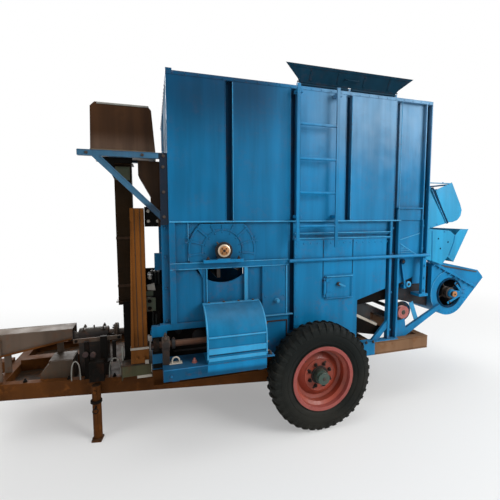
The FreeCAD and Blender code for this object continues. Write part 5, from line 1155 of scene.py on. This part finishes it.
def add_drawbar_fittings():
    """Flat bar, its bracket, the socket block and lifting hoops on the drawbar, and hems on the shaft guard."""
    piece = Piece()
    piece.box((0.772, 0.396, 0.626), (1.066, 0.404, 0.654), 1)
    piece.box((0.862, 0.404, 0.492), (0.902, 0.428, 0.664), 2)
    piece.box((0.836, 0.380, 0.486), (0.930, 0.440, 0.494), 2)
    for x in (0.790, 1.048):
        piece.bolt((x, 0.404, 0.640), LEFT, 0.014, tag=2)
    for x, reach, y in ((1.052, 0.026, 0.436), (0.815, 0.036, 0.452)):
        hoop = [(x + reach * cos(a), y, 0.392 + 0.126 * sin(a) ** 0.6)
                for a in spaced(0, pi, 17)]
        piece.tube(hoop, 0.0042, 8, 3)
    piece.box((0.876, 0.440, 0.392), (0.964, 0.500, 0.520), 2)
    piece.turned((0.920, 0.500, 0.456), LEFT, [(-0.002, 0.030), (0.004, 0.030), (0.006, 0.026), (0.006, 0.020)],
                 20, 2)
    piece.box((0.970, 0.410, 0.392), (0.998, 0.436, 0.640), 2)
    piece.box((0.964, 0.406, 0.392), (1.004, 0.440, 0.402), 2)
    for x, z in ((0.990, 0.560), (0.945, 0.554)):
        piece.rod((x, 0.400, z), (x, 0.440, z), 0.008, 12, 2)
        piece.turned((x, 0.438, z), LEFT, [(0, 0.014), (0.003, 0.018), (0.014, 0.018), (0.018, 0.013)], 20, 5)
    piece.box((0.936, 0.412, 0.546), (0.975, 0.424, 0.562), 2)
    piece.box((0.806, 0.428, 0.490), (0.828, 0.448, 0.632), 2)
    piece.box((0.760, 0.448, 0.490), (0.772, 0.454, 0.588), 3)
    piece.box((0.584, 0.5285, 0.412), (0.766, 0.5345, 0.481), 6)
    piece.box((0.581, 0.5330, 0.395), (0.674, 0.5362, 0.413), 7)
    low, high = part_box("pto_guard")
    for y, sign in ((low.y, -1), (high.y, 1)):
        hem, skin = y - 0.002 * sign, y - 0.018 * sign
        piece.bar((low.x + 0.004, hem, 0.636), (high.x - 0.004, hem, 0.556), 0.012, 0.005, (0, sign, 0))
        for x in (low.x + 0.05, high.x - 0.05):
            piece.bolt((x, skin, 0.672), (0, sign, 0), 0.010, tag=1, washer=False)
        piece.box((low.x, skin - 0.004, high.z - 0.010), (high.x, skin + 0.004, high.z), 1)
    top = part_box("hitch_clevis")[1].z
    piece.box((2.080, -0.062, top - 0.001), (2.120, 0.062, top + 0.006))
    for y in (-0.045, 0.045):
        piece.bolt((2.100, y, top + 0.005), UP, 0.019, tag=2)
    for sign in (-1, 1):
        for x in (0.82, 1.10, 1.36):
            y = 0.642 - 0.1557 * (x + 0.455)
            piece.bolt((x, y * sign, 0.392), UP, 0.019, tag=2, stud=True)
    low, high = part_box("tool_box")
    piece.box((low.x + 0.004, low.y - 0.004, high.z - 0.016), (high.x - 0.060, high.y - 0.010, high.z + 0.002), 4)
    piece.place("drawbar_fittings", "chassis", "chassis_brown", "brown", "guard_steel", "oily", "dull_edge",
                "tan", "rust_edge", "olive", "pale")


def add_stand_fittings(side, sign):
    """Collar, foot welds and pull handle of a stand leg."""
    low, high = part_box(f"stand_leg_{side}")
    centre = (low + high) / 2
    piece = Piece()
    down = Vector((0, 0, -1))
    x, y = centre.x, centre.y
    piece.turned((x, y, 0.272), down, [(0, 0.0272), (0, 0.033), (0.002, 0.035), (0.016, 0.035), (0.018, 0.033),
                                       (0.018, 0.0272)], 28, 1, hoop=True)
    piece.turned((x, y, low.z + 0.012), down,
                 [(-0.006, 0.0275), (0, 0.034), (0.001, 0.034), (0.001, 0.0275)], 28, hoop=True)
    piece.rod((x, y + sign * 0.018, 0.235), (x, y + sign * 0.052, 0.235), 0.006, 12, 1)
    piece.tube([(x + 0.016 * cos(a), y + sign * 0.052, 0.221 + 0.016 * sin(a))
                for a in around(16)], 0.003, 6, 1, ring=True)
    piece.place(f"stand_fittings_{side}", f"stand_{side}", "chassis_brown", "brown", "oily")


# ---------------------------------------------------------------- roof
def add_roof_trim():
    """Stiffening ribs, the feed opening's frame and bolts on the roof."""
    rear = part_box("roof_panel")[0].x
    piece = Piece()
    hole = (AXLE - 0.670, AXLE + 0.126, -0.250, 0.600)
    for x0, x1, y0, y1 in ((hole[0] - 0.025, hole[1] + 0.025, hole[2] - 0.025, hole[2] - 0.002),
                           (hole[0] - 0.025, hole[0] - 0.002, hole[2], hole[3]),
                           (hole[1] + 0.002, hole[1] + 0.025, hole[2], hole[3])):
        piece.box((x0, y0, ROOF - 0.001), (x1, y1, ROOF + 0.010), 1)
    for x in (rear + 0.12, AXLE + 0.30, AXLE + 0.58, AXLE + 0.86):
        piece.box((x - 0.018, -0.610, ROOF - 0.001), (x + 0.018, 0.610, ROOF + 0.009))
        for y in (-0.58, -0.30, 0.0, 0.30, 0.58):
            piece.dome((x, y, ROOF + 0.009), UP, 0.008)
    for k in range(8):
        piece.bolt((hole[0] + 0.09 * k + 0.06, hole[2] - 0.013, ROOF + 0.010), UP, 0.012, tag=2)
    piece.place("roof_trim", "chassis", "blue_paint", "blue", "light_blue", "steel")


def add_end_walls():
    """Swaged ribs, hems and rivets on the body's front and rear walls; the ribs and rivets take the front wall's
    blue, painted darker as shade.
    """
    piece = Piece()
    for node, sign, ribs in (("front_wall", 1, (-0.44, -0.15, 0.02)), ("rear_wall", -1, (-0.33, 0.0, 0.33))):
        low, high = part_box(node)
        face = high.x if sign > 0 else low.x
        out = Vector((sign, 0, 0))
        base, top = max(low.z, SILL) + 0.030, min(high.z, ROOF) - 0.040
        back, front = sorted((face - sign * 0.002, face + sign * 0.0045))
        for y in ribs:
            piece.box((back, y - 0.016, base + 0.03), (front, y + 0.016, top - 0.03), 0, 0.003)
        for z in (base, top):
            piece.box((back, -0.60, z - 0.010), (front, 0.60, z + 0.010), 1)
            piece.domes((face + sign * 0.004, -0.56, z), (face + sign * 0.004, 0.56, z), 17, out, 0.006)
    piece.place("end_wall_trim", "chassis", "blue_paint", "shaded_front_blue", "blue")


def add_flap_trim():
    """The feed flap's folded hem, its stiffening ribs, rivets and pull handle, in the flap's blue painted near black
    as shade.
    """
    lean = radians(27)
    foot = Vector((0, 0.648, 2.334))
    up, out = Vector((0, sin(lean), cos(lean))), Vector((0, cos(lean), -sin(lean)))
    left, right = AXLE - 0.670, AXLE + 0.126
    piece = Piece()
    for side in (-1, 1):
        face = out * side
        skin = foot + face * 0.0015
        for rise, beyond, width, thickness in ((0.109, 0.080, 0.014, 0.0035), (0.0155, 0, 0.008, 0.003)):
            hem = skin + up * rise
            piece.bar(hem + AHEAD * (left - beyond), hem + AHEAD * (right + beyond), width, thickness, face)
        for k in range(4):
            x = AHEAD * (left + 0.09 + (right - left - 0.18) * k / 3)
            piece.bar(skin + up * 0.026 + x, skin + up * 0.098 + x, 0.016, 0.0035, face)
            for reach in (0.034, 0.090):
                piece.dome(skin + up * reach + x + face * 0.003, face, 0.0045)
    grip = foot + out * 0.002 + up * 0.062 + AHEAD * (left + right) / 2
    handle = [(-0.050, 0), (-0.050, 0.016), (-0.044, 0.022), (0.044, 0.022), (0.050, 0.016), (0.050, 0)]
    piece.tube([grip + AHEAD * x + out * y for x, y in handle], 0.0045, 10)
    piece.place("flap_trim", "flap", "blue_paint", "shaded_flap_blue")


# ---------------------------------------------------------------- floor and light
def add_floor():
    """A pale floor that keeps the shadow near the machine and runs into the white background further out."""
    mesh = bpy.data.meshes.new("floor")
    mesh.from_pydata([(-60, -60, 0), (60, -60, 0), (60, 60, 0), (-60, 60, 0)], [], [(0, 1, 2, 3)])
    floor = bpy.data.objects.new("floor", mesh)
    SCENE.collection.objects.link(floor)
    f = Finish("floor")
    for socket, value in (("Base Color", (0.78, 0.78, 0.77)), ("Roughness", 0.9), ("Specular IOR Level", 0.1)):
        f.feed(f.shader.inputs[socket], value)
    away = f.add("VectorMath", {0: f.place}, operation="LENGTH").outputs["Value"]
    share = f.maths("MULTIPLY", f.ramp(away, 2.2, 6.0, 0.30, 1.0), f.seen_directly())
    f.show(share, f.shader, f.add("Emission", {"Strength": 1.0}), "Material Output")
    mesh.materials.append(f.material)


def add_world(strength):
    """A white surround to look at, and a softer one to light by."""
    SCENE.world = bpy.data.worlds.new("world")
    SCENE.world.use_nodes = True
    w = Nodes(SCENE.world.node_tree)
    ambient = w.tree.nodes["Background"]
    w.feed(ambient.inputs["Color"], (0.93, 0.96, 1.0))
    w.feed(ambient.inputs["Strength"], strength)
    w.show(w.seen_directly(), ambient, w.add("Background", {"Color": (1, 1, 1)}), "World Output")


def add_lamp(name, at, aim, size, watts):
    """A soft square lamp."""
    data = bpy.data.lights.new(name, "AREA")
    data.size = size
    data.energy = watts
    lamp = bpy.data.objects.new(name, data)
    lamp.location = at
    lamp.rotation_euler = (Vector(aim) - Vector(at)).to_track_quat("-Z", "Y").to_euler()
    SCENE.collection.objects.link(lamp)


def light_the_studio():
    """A key lamp at the tail, fills ahead of and behind the machine, and one overhead."""
    add_world(0.28)
    add_lamp("key", (-4.7, 5.0, 3.9), (-0.9, 0.3, 1.1), 3.5, 420)
    add_lamp("fill_front", (5.5, 3.5, 3.2), (0.5, 0.3, 0.9), 4.0, 90)
    add_lamp("fill_back", (2.0, -6.5, 4.2), (0.0, -0.3, 1.0), 4.0, 380)
    add_lamp("top", (-0.5, 0.5, 7.0), (0.0, 0.0, 0.0), 5.0, 170)
    SCENE.view_settings.view_transform = "Standard"


add_camera()
finish_packed_parts()
for side, sign in (("left", 1), ("right", -1)):
    add_wheel(side, sign)
    add_stand_fittings(side, sign)
for build in (add_drum_covers, add_line_shaft, add_input_shaft, add_rear_pulleys, add_bearing_fixings,
              add_side_guard_trim, add_panel_trim, add_door_fittings, add_blower_trim, add_rear_trim, add_grain_side,
              add_post_trim, add_front_drive, add_drawbar_fittings, add_roof_trim, add_end_walls, add_flap_trim):
    build()
add_floor()
light_the_studio()
